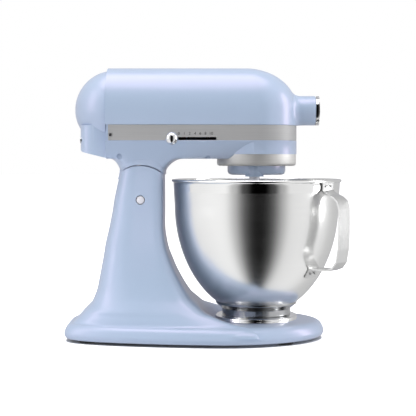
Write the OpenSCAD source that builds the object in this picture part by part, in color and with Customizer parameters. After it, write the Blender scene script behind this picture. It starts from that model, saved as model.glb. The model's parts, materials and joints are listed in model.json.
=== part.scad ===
/* [Stand] */
// Height of the casting above the table
foot_gap = 4; // [3:0.5:6]
// Thickness of the base casting, from its edge up to the pad under the bowl
base_h = 20; // [18:0.5:24]
// Wall of the base casting
base_wall = 4; // [3:0.5:5]
// Half width of the base beside the bowl
base_half = 98.7; // [94:0.5:104]
// Reach of the base behind the bowl axis
base_rear = 250; // [244:1:256]
// Reach of the base in front of the bowl axis
base_front = 88.7; // [84:0.5:94]
// Radius of each rubber foot
foot_r = 11; // [9:0.5:13]
// Half width of the pedestal at its top
pedestal_half = 45; // [43:0.5:48]
// Wall of the hollow pedestal
pedestal_wall = 6; // [5:0.5:8]
// Radius of the stand's fixing screws
screw_r = 3; // [2.5:0.25:3.5]

/* [Tilt hinge] */
// Height of the tilt pin above the pad
pin_rise = 158.3; // [156:0.5:161]
// Distance of the tilt pin behind the bowl axis
pin_back = 150; // [148:0.5:152]
// Radius of the tilt pin
pin_r = 5; // [4:0.25:6]
// Running clearance round the tilt pin
pin_fit = 0.05; // [0.03:0.01:0.08]
// Radius of the round pedestal top under the head
arc_r = 44.5; // [43:0.25:46]
// Gap between the head and the pedestal along the arc
arc_gap = 0.4; // [0.3:0.1:0.8]
// Half width of the slot for the head's tongue
slot_half = 22.3; // [20:0.1:24]
// Gap at each side of the tongue
tongue_gap = 0.4; // [0.3:0.1:0.8]
// Travel of the lock bolt
lock_travel = 10; // [8:0.5:11]
// Radius of the lock bolt
lock_r = 3; // [2.5:0.25:3.5]

/* [Head] */
// Height of the head's flat underside above the tilt pin
head_rise = 52.7; // [52:0.1:54]
// Height of the head casting, underside to crown
head_h = 118; // [116:0.5:120]
// Half width of the head at the band
head_half = 60; // [58:0.5:62]
// Reach of the nose in front of the bowl axis
nose_reach = 52.6; // [52:0.1:54]
// Reach of the main housing behind the bowl axis
housing_back = 193.5; // [192:0.5:195]
// Depth of the domed rear cover
cover_depth = 43.7; // [42:0.5:46]
// Wall of the head castings
head_wall = 4; // [3.5:0.25:5]
// Width of the trim band
band_h = 19.9; // [18:0.1:21]
// Thickness of the trim band
band_t = 1.2; // [1:0.1:1.5]
// Height of the band above the head's underside
band_rise = 23.3; // [22.5:0.1:24]
// Travel of the speed knob
speed_travel = 40; // [36:1:42]
// Radius of the speed knob
knob_r = 8.2; // [7.5:0.1:8.5]

/* [Attachment hub] */
// Height of the hub axis above the head's underside
hub_rise = 62.8; // [62:0.1:64]
// Outer radius of the hub barrel
hub_r = 19.2; // [18.5:0.1:20]
// Radius of the hub bore
hub_bore_r = 15.7; // [15:0.1:16]
// Length of the hub bore
hub_bore_len = 30; // [26:1:32]
// Reach of the barrel in front of the nose
hub_reach = 24; // [22:0.5:26]
// Thickness of the flip-up hub cover
cap_t = 4.8; // [4:0.1:5.5]

/* [Planetary drive] */
// Outer radius of the collar ring
collar_r = 51.8; // [51:0.1:52]
// Height of the collar ring
collar_h = 15.9; // [15:0.1:17]
// Radius of the planetary casting
planet_r = 38; // [37:0.25:39]
// Radius of the agitator shaft
agitator_r = 6.3; // [5.5:0.1:6.8]
// Drop of the planetary casting below the collar ring
planet_drop = 11.7; // [11:0.1:12.5]
// Angle round to which the agitator shaft is turned at rest
orbit_turn = 7.3; // [0:0.1:12]
// Length of the agitator shaft below the planetary casting
agitator_len = 55.5; // [50:0.5:60]
// Length of the agitator shaft's end that slides into a beater
agitator_end = 24; // [20:0.5:25]
// Height of the cross pin above the end of the agitator shaft
cross_pin_rise = 28; // [26:0.5:34]
// Radius of the centre shaft
centre_r = 7; // [6:0.25:8]
// Running clearance of the drive shafts
shaft_fit = 0.04; // [0.02:0.01:0.08]

/* [Bowl] */
// Radius of the bowl at its shoulder
bowl_r = 107.4; // [104:0.2:109]
// Height of the bowl's shoulder above the pad
shoulder_h = 150; // [147:0.5:153]
// Depth of the round part of the bowl
round_h = 145; // [142:0.5:147]
// Height of the straight wall above the shoulder
collar_wall_h = 34.5; // [32:0.5:36]
// Outward lean of the straight wall
wall_lean = 2; // [1:0.1:3]
// Thickness of the bowl's sheet
bowl_t = 1.4; // [1.2:0.1:2]
// Radius of the rolled rim
rim_r = 2; // [1.6:0.1:2.5]
// Width of the clamp plate's rolled lip
clamp_lip = 4.4; // [4:0.1:5]
// Gap between the bowl's foot and the clamp plate
clamp_gap = 0.3; // [0.2:0.05:0.5]
// Reach of the handle beyond the bowl's shoulder
handle_reach = 27.6; // [25:0.2:30]
// Width of the handle strap
strap_w = 25; // [20:0.5:28]
// Thickness of the handle strap
strap_t = 2; // [1.5:0.1:2.5]
// Angle from the front round to the handle
handle_angle = 38; // [30:1:50]

/* [Hidden] */
$fn = 64;
RING_POINTS = 40;
HULL_FN = 32;
EPS = 0.01;
TOOL = 400;

// The bowl axis stands this far in front of the origin, which is the middle of the whole outline.
axis_x = 69;
pad_z = foot_gap + base_h;
pin_x = axis_x - pin_back;
pin_z = pad_z + pin_rise;
pin_half = pedestal_half + 0.6;
tongue_half = slot_half - tongue_gap;
under_z = pin_z + head_rise;
crown_z = under_z + head_h;
band_z = under_z + band_rise;
split_z = band_z + band_h / 2;
band_top = band_z + band_h;
recess = band_t + 0.3;
nose_x = axis_x + nose_reach;
housing_x = axis_x - housing_back;
hub_z = under_z + hub_rise;
hub_x = nose_x + hub_reach;
shoulder_z = pad_z + shoulder_h;
rim_z = shoulder_z + collar_wall_h;
neck_x = bowl_r + wall_lean;
belly_angles = [0, 10, 20, 30, 38, 46, 53, 60, 65.5, 71.5];
foot_at = 7;
foot_ring_r = bowl_r * cos(belly_angles[foot_at + 1]) + 0.46;
skirt_z = pin_z + 36;
collar_top = under_z + 6.7;
collar_z = collar_top - collar_h;
planet_z = collar_z - planet_drop;
pin_hole_z = planet_z - agitator_len + cross_pin_rise;
floor_z = under_z + 11;
wide_z = under_z + 50;

// The motor's worm drives a wheel on the countershaft, and its pinion drives the centre gear.
worm_pitch_r = 6;
wheel_r = 18;
tooth_size = 1.5;
tooth_depth = 1.27 * tooth_size;
tooth_slack = 0.15;
pressure_angle = 20;
function gear_r(teeth) = tooth_size * teeth / 2;
pinion_teeth = 13;
centre_teeth = 40;
pinion_r = gear_r(pinion_teeth);
centre_gear_r = gear_r(centre_teeth);
gear_gap = 0.6;
counter_y = worm_pitch_r + wheel_r;
counter_x = axis_x - sqrt(pow(pinion_r + centre_gear_r, 2) - pow(counter_y, 2));
counter_r = 5;
motor_z = hub_z;
motor_r = 4;
bevel_r = 14;
mesh_angle = atan2(counter_y, counter_x - axis_x);

// The agitator's pinion rolls round inside the ring gear, which fills the collar ring.
collar_wall = 4;
ring_wall = 7.3;
agitator_teeth = 14;
ring_teeth = round(2 * (collar_r - collar_wall - ring_wall) / tooth_size);
ring_r = gear_r(ring_teeth);
orbit_r = ring_r - gear_r(agitator_teeth);
spur_z = floor_z + 12;
spur_h = 8;

// One level outline, a superellipse with its own front and rear reach.
// row = [z, middle x, front reach, rear reach, half width, front power, rear power, rear taper, horn, taper power]
function outline(row, inset = 0) = [
    for (i = [0 : RING_POINTS - 1])
        let (a = 360 * i / RING_POINTS)
        let (front = cos(a) >= 0)
        let (power = front ? row[5] : row[6])
        let (u = pow(abs(cos(a)), 2 / power))
        let (v = pow(abs(sin(a)), 2 / power))
        let (reach = (front ? row[2] : row[3]) - inset)
        let (horn = front ? row[8] * v * v : 0)
        let (x = row[1] + sign(cos(a)) * reach * u + horn * u)
        let (taper = front ? 0 : row[7] * pow(u, row[9]))
        [x, sign(sin(a)) * (row[4] - inset) * v * (1 - taper), row[0]]
];

// One upright outline across the head.
// row = [x, middle z, upper reach, lower reach, half width, power]
function cross_outline(row, inset = 0) = [
    for (i = [0 : RING_POINTS - 1])
        let (a = 360 * i / RING_POINTS)
        let (u = sign(cos(a)) * pow(abs(cos(a)), 2 / row[5]))
        let (v = sign(sin(a)) * pow(abs(sin(a)), 2 / row[5]))
        let (reach = (v > 0 ? row[2] : row[3]) - inset)
        [row[0], (row[4] - inset) * u, row[1] + reach * v]
];

// Skin through a list of outlines that all have as many points.
// A list that runs down inside and up outside gives an open shell.
module loft(rings, flip = false) {
    n = len(rings[0]);
    last = (len(rings) - 1) * n;
    points = [for (ring = rings) for (p = ring) p];
    start_cap = [for (i = [0 : n - 1]) i];
    end_cap = [for (i = [n - 1 : -1 : 0]) last + i];
    sides = [
        for (r = [0 : len(rings) - 2])
            for (i = [0 : n - 1])
                let (j = (i + 1) % n)
                [r * n + i, (r + 1) * n + i, (r + 1) * n + j, r * n + j]
    ];
    faces = concat([start_cap], sides, [end_cap]);
    turned = [for (f = faces) [for (i = [len(f) - 1 : -1 : 0]) f[i]]];
    polyhedron(points = points, faces = flip ? turned : faces);
}

module at_axis(z = 0) {
    translate([axis_x, 0, z]) children();
}

module along_x(x, y, z) {
    translate([x, y, z]) rotate([0, 90, 0]) children();
}

// Children drawn flat in X and Z become a slab of the given width across Y.
module slab(width) {
    rotate([90, 0, 0]) linear_extrude(width, center = true) children();
}

// Base casting: an egg-shaped tray, open below, with a rounded shoulder up to the pad.
base_turn = 45;
function base_row(z) = [
    z, axis_x - base_turn, base_front + base_turn, base_rear - base_turn,
    base_half, 2, 8, 0.3, 0, 1.5
];
base_edges = [[0, 3], [0.1, 1], [0.3, 0], [0.5, 0.8], [0.7, 2.4], [0.85, 5], [0.95, 8], [1, 11.5]];
foot_places = [[-218, 48], [-218, -48], [34, 60], [34, -60]];
stand_screws = [[-207, 30], [-207, -30], [-110, 45], [-110, -45]];
rib_half = 80;
clamp_screw_ring = 30;
roof_z = pad_z - base_wall;

module at_feet() {
    for (place = foot_places)
        translate([axis_x + place[0], place[1], 0]) children();
}

module at_stand_screws() {
    for (place = stand_screws)
        translate([axis_x + place[0], place[1], 0]) children();
}

module at_clamp_screws() {
    for (a = [60 : 120 : 300])
        at_axis() rotate([0, 0, a]) translate([clamp_screw_ring, 0, 0]) children();
}

module base() {
    outer = [for (e = base_edges) outline(base_row(foot_gap + e[0] * base_h), e[1])];
    inner_top = foot_gap + base_h - base_wall;
    inner = [
        outline(base_row(inner_top), base_wall + 12),
        outline(base_row(inner_top - 4), base_wall + 4),
        outline(base_row(foot_gap), base_wall + 3)
    ];
    color("lightsteelblue") difference() {
        union() {
            loft(concat(inner, outer));
            at_feet() translate([0, 0, foot_gap]) cylinder(r = foot_r + 2, h = roof_z + EPS - foot_gap);
            at_stand_screws() translate([0, 0, foot_gap + 5]) cylinder(r = 3 * screw_r, h = base_h - 6);
            at_clamp_screws() translate([0, 0, foot_gap + 5]) cylinder(r = 2 * screw_r, h = base_h - 6);
        }
        at_feet() cylinder(r = foot_r / 2, h = foot_gap + 8);
        at_stand_screws() cylinder(r = screw_r + 0.2, h = TOOL);
        at_clamp_screws() translate([0, 0, pad_z - 10]) cylinder(r = screw_r, h = 20);
    }
}

module feet() {
    color("dimgray") at_feet() {
        rotate_extrude() polygon([
            [0, 0], [foot_r - 1.5, 0], [foot_r, 1.5], [foot_r, foot_gap],
            [foot_r / 2, foot_gap], [foot_r / 2, foot_gap + 8], [0, foot_gap + 8]
        ]);
    }
}

module pedestal_screws() {
    head_z = foot_gap + 5;
    color("silver") at_stand_screws() {
        translate([0, 0, head_z - 4]) cylinder(r = 2 * screw_r, h = 4);
        translate([0, 0, head_z]) cylinder(r = screw_r, h = base_h + 3);
    }
}

// Pedestal: a hollow column that spreads into horns along both sides of the pad.
// Each row = [height above the pad, front face x, horn, half width, middle x, rear x, taper]
pedestal_rows = [
    [0, -61, 62, 87, -38, -238.5, 0.29],
    [2, -64, 52, 84.7, -46, -236, 0.27],
    [6, -67, 36, 81, -64, -232, 0.24],
    [12, -70, 20, 76, -84, -227.5, 0.2],
    [16, -73, 10, 73, -99, -223, 0.16],
    [24, -77, 2, 67.5, -111, -216, 0.12],
    [32, -85, 0, 62.5, -121, -212, 0.08],
    [42, -92, 0, 58.5, -129, -208.5, 0.05],
    [54, -99, 0, 55, -135, -206, 0.02],
    [67, -105.6, 0, 52, -139, -203.5, 0],
    [80, -111, 0, 50, -143, -201, 0],
    [90, -115, 0, 48.6, -143, -199.3, 0],
    [101, -117.8, 0, 47.5, -144, -197.5, 0],
    [120, -120.5, 0, 46.5, -146, -193, 0],
    [142, -120.5, 0, 45.6, -148, -188.5, 0],
    [158, -120.5, 0, 45, -149, -186, 0],
    [176, -120.5, 0, 44.6, -149, -182.2, 0],
    [204, -120.5, 0, 44.2, -149, -177, 0]
];
half_scale = pedestal_half / 45;
function pedestal_row(r) = [
    pad_z + r[0], axis_x + r[4], r[1] - r[4], r[4] - r[5],
    r[3] * half_scale, 5.5, 3.2 + 4.8 * pow(max(0, 1 - r[0] / 60), 3), r[6], r[2], 1.5
];
lock_z = pin_z + 29;
lock_y = slot_half + 3.9;
lock_x = pin_x + 13;
pocket_half = 4;

module pedestal() {
    outer = [for (r = pedestal_rows) outline(pedestal_row(r))];
    inner = [for (i = [12 : -1 : 0]) outline(pedestal_row(pedestal_rows[i]), pedestal_wall)];
    color("lightsteelblue") difference() {
        union() {
            intersection() {
                loft(concat(inner, outer));
                union() {
                    translate([-TOOL, -TOOL, 0]) cube([2 * TOOL, 2 * TOOL, skirt_z - 7]);
                    translate([pin_x, -TOOL, 0]) cube([TOOL, 2 * TOOL, skirt_z - 0.6]);
                    translate([pin_x, 0, pin_z]) rotate([90, 0, 0])
                        cylinder(r = arc_r, h = TOOL, center = true, $fn = 128);
                }
            }
            at_stand_screws() translate([0, 0, pad_z]) cylinder(r = 3 * screw_r, h = 20);
            for (x = [stand_screws[0][0], stand_screws[2][0]])
                translate([axis_x + x - 3, 0, pad_z]) rotate([90, 0, 90]) linear_extrude(6)
                    rib_outline(x == stand_screws[0][0] ? rib_half - 24 : rib_half);
        }
        translate([pin_x - 28, -slot_half, pad_z + 95]) cube([54, 2 * slot_half, TOOL]);
        translate([pin_x, 0, pin_z]) slab(2 * slot_half)
            polygon([[-60, 19], [-32.8, 19], [-26, 27], [-26, TOOL], [-60, TOOL]]);
        translate([pin_x - 26, 0, pin_z + 14]) cube([52, slot_half + 8, TOOL]);
        translate([pin_x, 0, pin_z]) rotate([90, 0, 0]) cylinder(r = pin_r, h = TOOL, center = true);
        translate([pin_x, -pedestal_half + 8, pin_z - 30]) cylinder(r = screw_r, h = 30);
        translate([lock_x - 3.5, slot_half, lock_z - 3]) cube([lock_travel + 7, TOOL, 6]);
        at_stand_screws() cylinder(r = screw_r, h = base_h + foot_gap + 12);
    }
}

// Cross rib inside the pedestal, which ties the screw bosses to its walls.
module rib_outline(half) {
    polygon([[-half, 0], [half, 0], [half - 14, 17], [14 - half, 17]]);
}

module hinge_pin() {
    color("gainsboro") translate([pin_x, pin_half, pin_z]) rotate([90, 0, 0]) {
        translate([0, 0, 1]) cylinder(r = pin_r, h = 2 * pin_half - 2);
        cylinder(r = pin_r - 1, h = 2 * pin_half);
    }
}

module pin_set_screw() {
    color("dimgray") translate([pin_x, -pedestal_half + 8, pin_z - 14])
        cylinder(r = screw_r, h = 14 - pin_r);
}

// Clamp plate: a shallow dish with a rolled lip, whose three tabs hold the bowl's lugs.
plate_t = 2;
lug_t = 2;
lug_reach = 3.5;
lug_turn = 24;
tab_turn = 42;
lip_r = foot_ring_r + lug_reach + 1;
clamp_r = lip_r + clamp_lip;
lug_z = pad_z + plate_t + clamp_gap;
tab_z = lug_z + lug_t + clamp_gap;
tab_t = 2;

module sector_block(inner_r, outer_r, from, turn, h) {
    rotate([0, 0, from]) rotate_extrude(angle = turn)
        translate([inner_r, 0]) square([outer_r - inner_r, h]);
}

module clamp_plate() {
    lip_top = tab_z + tab_t;
    color("silver") difference() {
        union() {
            at_axis() rotate_extrude($fn = 96) polygon([
                [0, pad_z], [clamp_r - 1, pad_z], [clamp_r, pad_z + 1.5], [clamp_r - 0.5, lip_top - 1],
                [clamp_r - 2, lip_top], [lip_r, lip_top], [lip_r, pad_z + plate_t], [0, pad_z + plate_t]
            ]);
            for (a = [0 : 120 : 240])
                at_axis(tab_z)
                    sector_block(foot_ring_r + clamp_gap, lip_r + 1, a - 28, tab_turn, tab_t);
        }
        at_clamp_screws() translate([0, 0, pad_z - 5]) cylinder(r = screw_r + 0.2, h = 20);
    }
}

module clamp_screws() {
    color("silver") at_clamp_screws() {
        translate([0, 0, pad_z - 8]) cylinder(r = screw_r, h = 8 + plate_t);
        translate([0, 0, pad_z + plate_t]) cylinder(r = 2 * screw_r - 1, h = 1.8);
    }
}

// Lower head casting: a tray with a neck that ends in the arc over the pedestal.
widening = head_half / nose_reach - 1;
function head_row(z, front_cut = 0, side_cut = 0) = [
    z, axis_x, nose_reach - front_cut, housing_back, nose_reach - side_cut, 2, 40, -widening, 0, 1
];
// row = [height above the underside, front x, half width]
neck_rows = [
    [3, -96.5, 44.6, -192.3], [-0.4, -96.5, 44.6, -192.3], [-2.6, -105.2, 44.4, -189.8], [-5.7, -110.5, 44.3, -184.6],
    [-9.6, -115, 44.3, -180.6], [-16.7, -119.2, 44.3, -178]
];
function neck_row(r) = [
    under_z + r[0], axis_x - 149, r[1] + 149, -149 - r[3], r[2] * half_scale, 5.5, 3.2, 0, 0, 1
];
slot_from = -114;
slot_len = 61;
lever_z = band_z + 2.3;

module gearcase() {
    inner = [
        outline(head_row(floor_z), head_wall + 8),
        outline(head_row(floor_z + 7), head_wall + recess),
        outline(head_row(split_z), head_wall + recess)
    ];
    outer = [
        outline(head_row(split_z), recess),
        outline(head_row(band_z), recess),
        outline(head_row(band_z), 0),
        outline(head_row(under_z + 14, 0, 0.3), 0),
        outline(head_row(under_z + 9.5, 0.3, 1.6), 0),
        outline(head_row(collar_top, 1, 3.2), 0),
        outline(head_row(under_z + 2, 3, 7), 0),
        outline(head_row(under_z, 7, 11), 0)
    ];
    color("lightsteelblue") difference() {
        union() {
            difference() {
                union() {
                    loft(concat(inner, outer), flip = true);
                    loft([for (r = neck_rows) outline(neck_row(r))], flip = true);
                }
                translate([pin_x, 0, pin_z]) rotate([90, 0, 0])
                    cylinder(r = arc_r + arc_gap, h = TOOL, center = true, $fn = 128);
            }
            tongue();
            at_axis(floor_z - 2) cylinder(r = 18, h = 10);
            translate([counter_x, counter_y, floor_z - 2]) cylinder(r = counter_r + 4, h = 12);
            case_posts(floor_z - 2, split_z - floor_z + 2);
            for (x = board_x) for (y = board_y)
                translate([x, y, floor_z - 2]) cylinder(r = 4, h = board_z - floor_z + 2);
        }
        at_axis(under_z - 20) cylinder(r = collar_r, h = collar_top - under_z + 20, $fn = 96);
        at_axis() cylinder(r = bush_r, h = TOOL);
        translate([counter_x, counter_y, floor_z]) cylinder(r = counter_r + shaft_fit, h = 20);
        translate([axis_x + slot_from, -head_half - 5, lever_z - 1.9]) cube([slot_len, 35, 3.8]);
        translate([pin_x, 0, pin_z]) rotate([90, 0, 0])
            cylinder(r = pin_r + pin_fit, h = TOOL, center = true);
        at_case_screws() {
            cylinder(r = 3.6, h = case_screw_z);
            cylinder(r = 2.2, h = TOOL);
        }
    }
}

// The tongue hangs from the neck to the pin, with a rear tab that fills the pedestal's notch.
ear_x = 3;
module tongue() {
    top = head_rise + 4;
    translate([pin_x, 0, pin_z]) {
        slab(2 * tongue_half) union() {
            circle(r = 14);
            polygon([[4, 0], [13.9, 0], [22, 16], [22, top], [4, top]]);
            polygon([[-25, top], [-28.2, 34.5], [-30.2, 26.4], [-27.5, 26.4], [-22, 34], [-16, top]]);
        }
        difference() {
            translate([ear_x, 0, 22]) cube([8, tongue_half + 5.5, 14]);
            along_x(ear_x - 1, lock_y, lock_z - pin_z) cylinder(r = lock_r + 0.3, h = 10);
        }
    }
}

case_web = 12;
function side_half(back) = nose_reach * (1 + widening * back / housing_back);
case_screw_places = [for (side = [1, -1]) for (at = [[64, 4.55], [176.6, 2.35]])
    [-at[0], side * (side_half(at[0]) - at[1] - case_web)]];
case_screw_z = under_z + 9;
case_boss_r = 5.5;
module at_case_screws() {
    for (place = case_screw_places)
        translate([axis_x + place[0], place[1], 0]) children();
}

// Screw posts with a web out to the side wall.
module case_posts(z, h) {
    at_case_screws() translate([0, 0, z]) cylinder(r = case_boss_r, h = h);
    for (place = case_screw_places)
        translate([axis_x + place[0] - 2, min(place[1], place[1] + case_web * sign(place[1])), z]) cube([4, case_web, h]);
}

// Upper head casting: a vaulted cover with the attachment barrel at its nose.
vault_h = crown_z - wide_z;
vault_power = 2.3;
nose_round = 67.6;
nose_drop = 53;
function vault_half(z) = pow(1 - pow(max(0, z - wide_z) / vault_h, vault_power), 1 / vault_power);
function nose_cut(z) =
    let (t = max(0, z - (crown_z - nose_drop)) / nose_drop)
    nose_round * (1 - sqrt(1 - t * t));
function vault_row(z) =
    let (front = nose_x - nose_cut(z))
    let (half = nose_reach * vault_half(z))
    [z, front - half, half, front - half - housing_x, half, 2, 40, -widening, 0, 1];
vault_steps = [0.02, 0.18, 0.34, 0.5, 0.64, 0.76, 0.86, 0.93, 0.975, 0.998];
module upper_housing() {
    inner = [
        for (i = [len(vault_steps) - 2 : -1 : 0])
            let (z = wide_z + vault_steps[i] * vault_h)
            let (row = vault_row(z))
            outline([for (k = [0 : 9]) k == 0 ? z - head_wall * vault_steps[i] : row[k]], head_wall)
    ];
    skirt = [
        outline(head_row(split_z), head_wall + recess),
        outline(head_row(split_z), recess),
        outline(head_row(band_top), recess),
        outline(head_row(band_top), 0)
    ];
    outer = [for (s = vault_steps) outline(vault_row(wide_z + s * vault_h), 0)];
    color("lightsteelblue") difference() {
        union() {
            difference() {
                union() {
                    loft(concat(inner, skirt, outer));
                    along_x(hub_x - 50, 0, hub_z) cylinder(r = hub_r, h = 50);
                    intersection() {
                        along_x(nose_x - 8, 0, hub_z) cylinder(r1 = hub_r + 5, r2 = hub_r, h = 14);
                        translate([0, -TOOL, band_top + 0.3]) cube(2 * TOOL);
                    }
                    translate([thumb_x, 0, hub_z]) rotate([-90, 0, 0]) cylinder(r = 7, h = hub_r + 5);
                    hub_knuckle();
                }
                along_x(hub_x - hub_bore_len, 0, hub_z) cylinder(r = hub_bore_r, h = 60);
                along_x(hub_x, 0, hub_z) cylinder(r = hub_bore_r + 0.6, h = 30);
            }
            motor_rails();
            bearing_posts();
            case_posts(split_z, 14);
        }
        at_cap_pin() cylinder(r = cap_pin_r + shaft_fit, h = TOOL, center = true);
        along_x(hub_x - 60, 0, hub_z) cylinder(r = hub_shaft_r + shaft_fit, h = 40);
        along_x(housing_x - 10, 0, hub_z) cylinder(r = 43, h = 20);
        translate([thumb_x, 0, hub_z]) rotate([-90, 0, 0]) cylinder(r = thumb_r + shaft_fit, h = 60);
        along_x(worm_x, 0, motor_z) cylinder(r = motor_r + shaft_fit, h = 40);
        translate([counter_x, counter_y, 0]) cylinder(r = counter_r + shaft_fit, h = counter_top);
        at_case_screws() cylinder(r = 2, h = split_z + 12);
    }
}

// Ribs that grip the motor's field stack, and posts that carry the front bearings.
field_half = 42;
field_x = -80;
field_len = 50;
worm_x = counter_x;
rail_w = side_half(axis_x - field_x - field_len) - field_half - 1.9;
frame_x = field_x - 30;
counter_top = hub_z + 14;
hub_shaft_r = 8;
thumb_r = 3;
thumb_x = hub_x - 13;
module motor_rails() {
    for (side = [-1, 1])
        translate([frame_x, side * (field_half + rail_w / 2) - rail_w / 2, motor_z - 8])
            cube([field_x + field_len - frame_x, rail_w, 10]);
}

module bearing_posts() {
    translate([worm_x + 14, -9, motor_z - 9]) cube([5, 18, crown_z - motor_z + 7]);
    translate([counter_x, counter_y, hub_z + 6]) cylinder(r = counter_r + 3, h = 36);
}

// Rear cover: a domed shell over the motor's end, with the cord's housing below it.
dome_r = 52;
dome_x = housing_x + 8;
tail_x = housing_x - cover_depth + 8.5;
function dome_row(s, inset = 0) = [
    dome_x - (cover_depth + 8) * sin(s), hub_z, dome_r * cos(s), 48 * cos(s), (head_half - 2.5) * cos(s), 2.15
];
module rear_cover() {
    steps = [9.2, 20, 32, 45, 57, 68, 78, 87];
    inner = [for (i = [6 : -1 : 0]) outline_at_dome(steps[i], head_wall)];
    outer = [for (s = steps) outline_at_dome(s, 0)];
    color("lightsteelblue") difference() {
        union() {
            loft(concat(inner, outer), flip = true);
            intersection() {
                loft([for (z = [under_z, under_z + 44]) outline(
                    [z, housing_x, 2, cover_depth - 8.5, 46, 8, 4, 0, 0, 1]
                )]);
                slab(TOOL) polygon([
                    [housing_x, under_z + 0.6], [tail_x + 4, under_z + 8.8], [tail_x + 1, under_z + 11],
                    [tail_x, under_z + 14], [tail_x, under_z + 43], [housing_x, under_z + 43]
                ]);
            }
        }
        along_x(housing_x - 14, 0, hub_z) cylinder(r = 40, h = 30);
        along_x(housing_x - 80, 0, gland_z) cylinder(r = gland_r, h = 100);
        along_x(tail_x - 1, -30, gland_z) cylinder(r = 2.2, h = 60);
        along_x(tail_x - 1, -30, gland_z) cylinder(r = 4.3, h = 4);
    }
}
gland_r = 7;
gland_z = under_z + 24;
function outline_at_dome(s, inset) = cross_outline(dome_row(s), inset);

module rear_cover_screw() {
    color("silver") along_x(tail_x + 1, -30, gland_z) {
        cylinder(r = 4, h = 2);
        cylinder(r = 2.2, h = 27);
    }
}

module cord_gland() {
    color("dimgray") difference() {
        along_x(tail_x, 0, gland_z) cylinder(r = gland_r, h = 17);
        along_x(tail_x - 30, 0, gland_z) cylinder(r = 3.5, h = 80);
    }
}

module housing_screws() {
    color("silver") at_case_screws() {
        translate([0, 0, case_screw_z - 2]) cylinder(r = 3.4, h = 2);
        translate([0, 0, case_screw_z]) cylinder(r = 2, h = split_z + 10 - case_screw_z);
    }
}

// Trim band: one strip bent round the nose, with the speed slot in its near side.
module trim_band() {
    color("silver") difference() {
        translate([0, 0, band_z]) linear_extrude(band_h) difference() {
            polygon([for (p = outline(head_row(0))) [p[0], p[1]]]);
            polygon([for (p = outline(head_row(0), recess)) [p[0], p[1]]]);
            translate([housing_x - 50, -TOOL]) square([53, 2 * TOOL]);
        }
        translate([axis_x + slot_from, -head_half - 5, lever_z - 1.9]) cube([slot_len, 20, 3.8]);
    }
}

module band_screws() {
    color("gainsboro") for (side = [-1, 1])
        translate([housing_x + 7, side * head_half, band_z + band_h * 0.35])
            rotate([side * -90, 0, 0]) cylinder(r = 2, h = 1);
}

// Collar: a drip ring under the nose, seated in the lower casting.
module collar_ring() {
    color("silver") at_axis() rotate_extrude($fn = 96) polygon([
        [bush_r, collar_top - 2], [bush_r, collar_top], [collar_r, collar_top],
        [collar_r, collar_z + 3.4], [collar_r - 0.8, collar_z + 1], [collar_r - 3, collar_z],
        [collar_r - collar_wall, collar_z], [collar_r - collar_wall, collar_top - 2]
    ]);
}

// Teeth with involute flanks. A side is a list of radii, each with its angle from the tooth's middle.
function involute(r, base_r) = let (a = acos(min(1, base_r / r))) tan(a) * 180 / PI - a;
function tooth_half(teeth, r, slack) =
    let (pitch_r = gear_r(teeth), base_r = pitch_r * cos(pressure_angle))
    90 / teeth - slack / pitch_r * 180 / PI + involute(pitch_r, base_r) - involute(max(r, base_r), base_r);
function tooth_side(teeth, root_r, tip_r, slack) =
    let (start_r = max(root_r, gear_r(teeth) * cos(pressure_angle)))
    concat(
        root_r < start_r ? [[root_r, tooth_half(teeth, start_r, slack)]] : [],
        [for (i = [0 : 3]) let (r = start_r + (tip_r - start_r) * i / 3) [r, tooth_half(teeth, r, slack)]]
    );
module gear_outline(teeth, root_r, tip_r, slack) {
    side = tooth_side(teeth, root_r, tip_r, slack);
    last = len(side) - 1;
    polygon([
        for (k = [0 : teeth - 1])
            for (i = [0 : 2 * last + 1])
                let (p = i > last ? side[2 * last + 1 - i] : side[i])
                let (a = 360 * k / teeth + (i > last ? p[1] : -p[1]))
                [p[0] * cos(a), p[0] * sin(a)]
    ]);
}
module spur_gear(teeth, h, turn) {
    rotate([0, 0, turn]) linear_extrude(h)
        gear_outline(teeth, gear_r(teeth) - tooth_depth, gear_r(teeth) + tooth_size, tooth_slack);
}

module ring_gear() {
    color("dimgray") at_axis(collar_z + 3) difference() {
        cylinder(r = collar_r - collar_wall, h = collar_h - 5);
        translate([0, 0, -1]) rotate([0, 0, -90 - orbit_turn]) linear_extrude(collar_h)
            gear_outline(ring_teeth, ring_r - tooth_size, ring_r + tooth_depth, -tooth_slack);
    }
}

bush_r = 12;
module centre_bush() {
    color("peru") at_axis() difference() {
        translate([0, 0, collar_top - 2]) cylinder(r = bush_r, h = floor_z + 8 - collar_top + 2);
        cylinder(r = centre_r + shaft_fit, h = TOOL);
    }
}

// Motor: field stack with coils at its ends, armature on one long shaft.
core_r = 26;
module motor_field() {
    color("gray") along_x(field_x, 0, motor_z) difference() {
        intersection() {
            cylinder(r = field_half + 3, h = field_len);
            translate([-TOOL, -field_half, 0]) cube([2 * TOOL, 2 * field_half, field_len]);
        }
        cylinder(r = core_r + 1, h = TOOL, center = true);
    }
}

module field_coils() {
    color("peru") for (x = [field_x - 6, field_x + field_len]) along_x(x, 0, motor_z) difference() {
        cylinder(r = 38, h = 6);
        cylinder(r = 29, h = TOOL, center = true);
    }
}

holder_x = frame_x + 6;
holder_len = 15;
module end_frame() {
    color("silver") difference() {
        union() {
            translate([frame_x, -field_half, motor_z - 9]) cube([6, 2 * field_half, 18]);
            along_x(frame_x, 0, motor_z) cylinder(r = 12, h = 6);
        }
        along_x(frame_x - 10, 0, motor_z) cylinder(r = motor_r + shaft_fit, h = 30);
    }
}

module brush_holders() {
    color("goldenrod") for (side = [-1, 1]) difference() {
        translate([holder_x, side * 27 - 10, motor_z - 5]) cube([holder_len, 20, 10]);
        translate([holder_x + 3, side * 27 - TOOL / 2, motor_z - 3]) cube([9, TOOL, 6]);
    }
}

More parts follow.
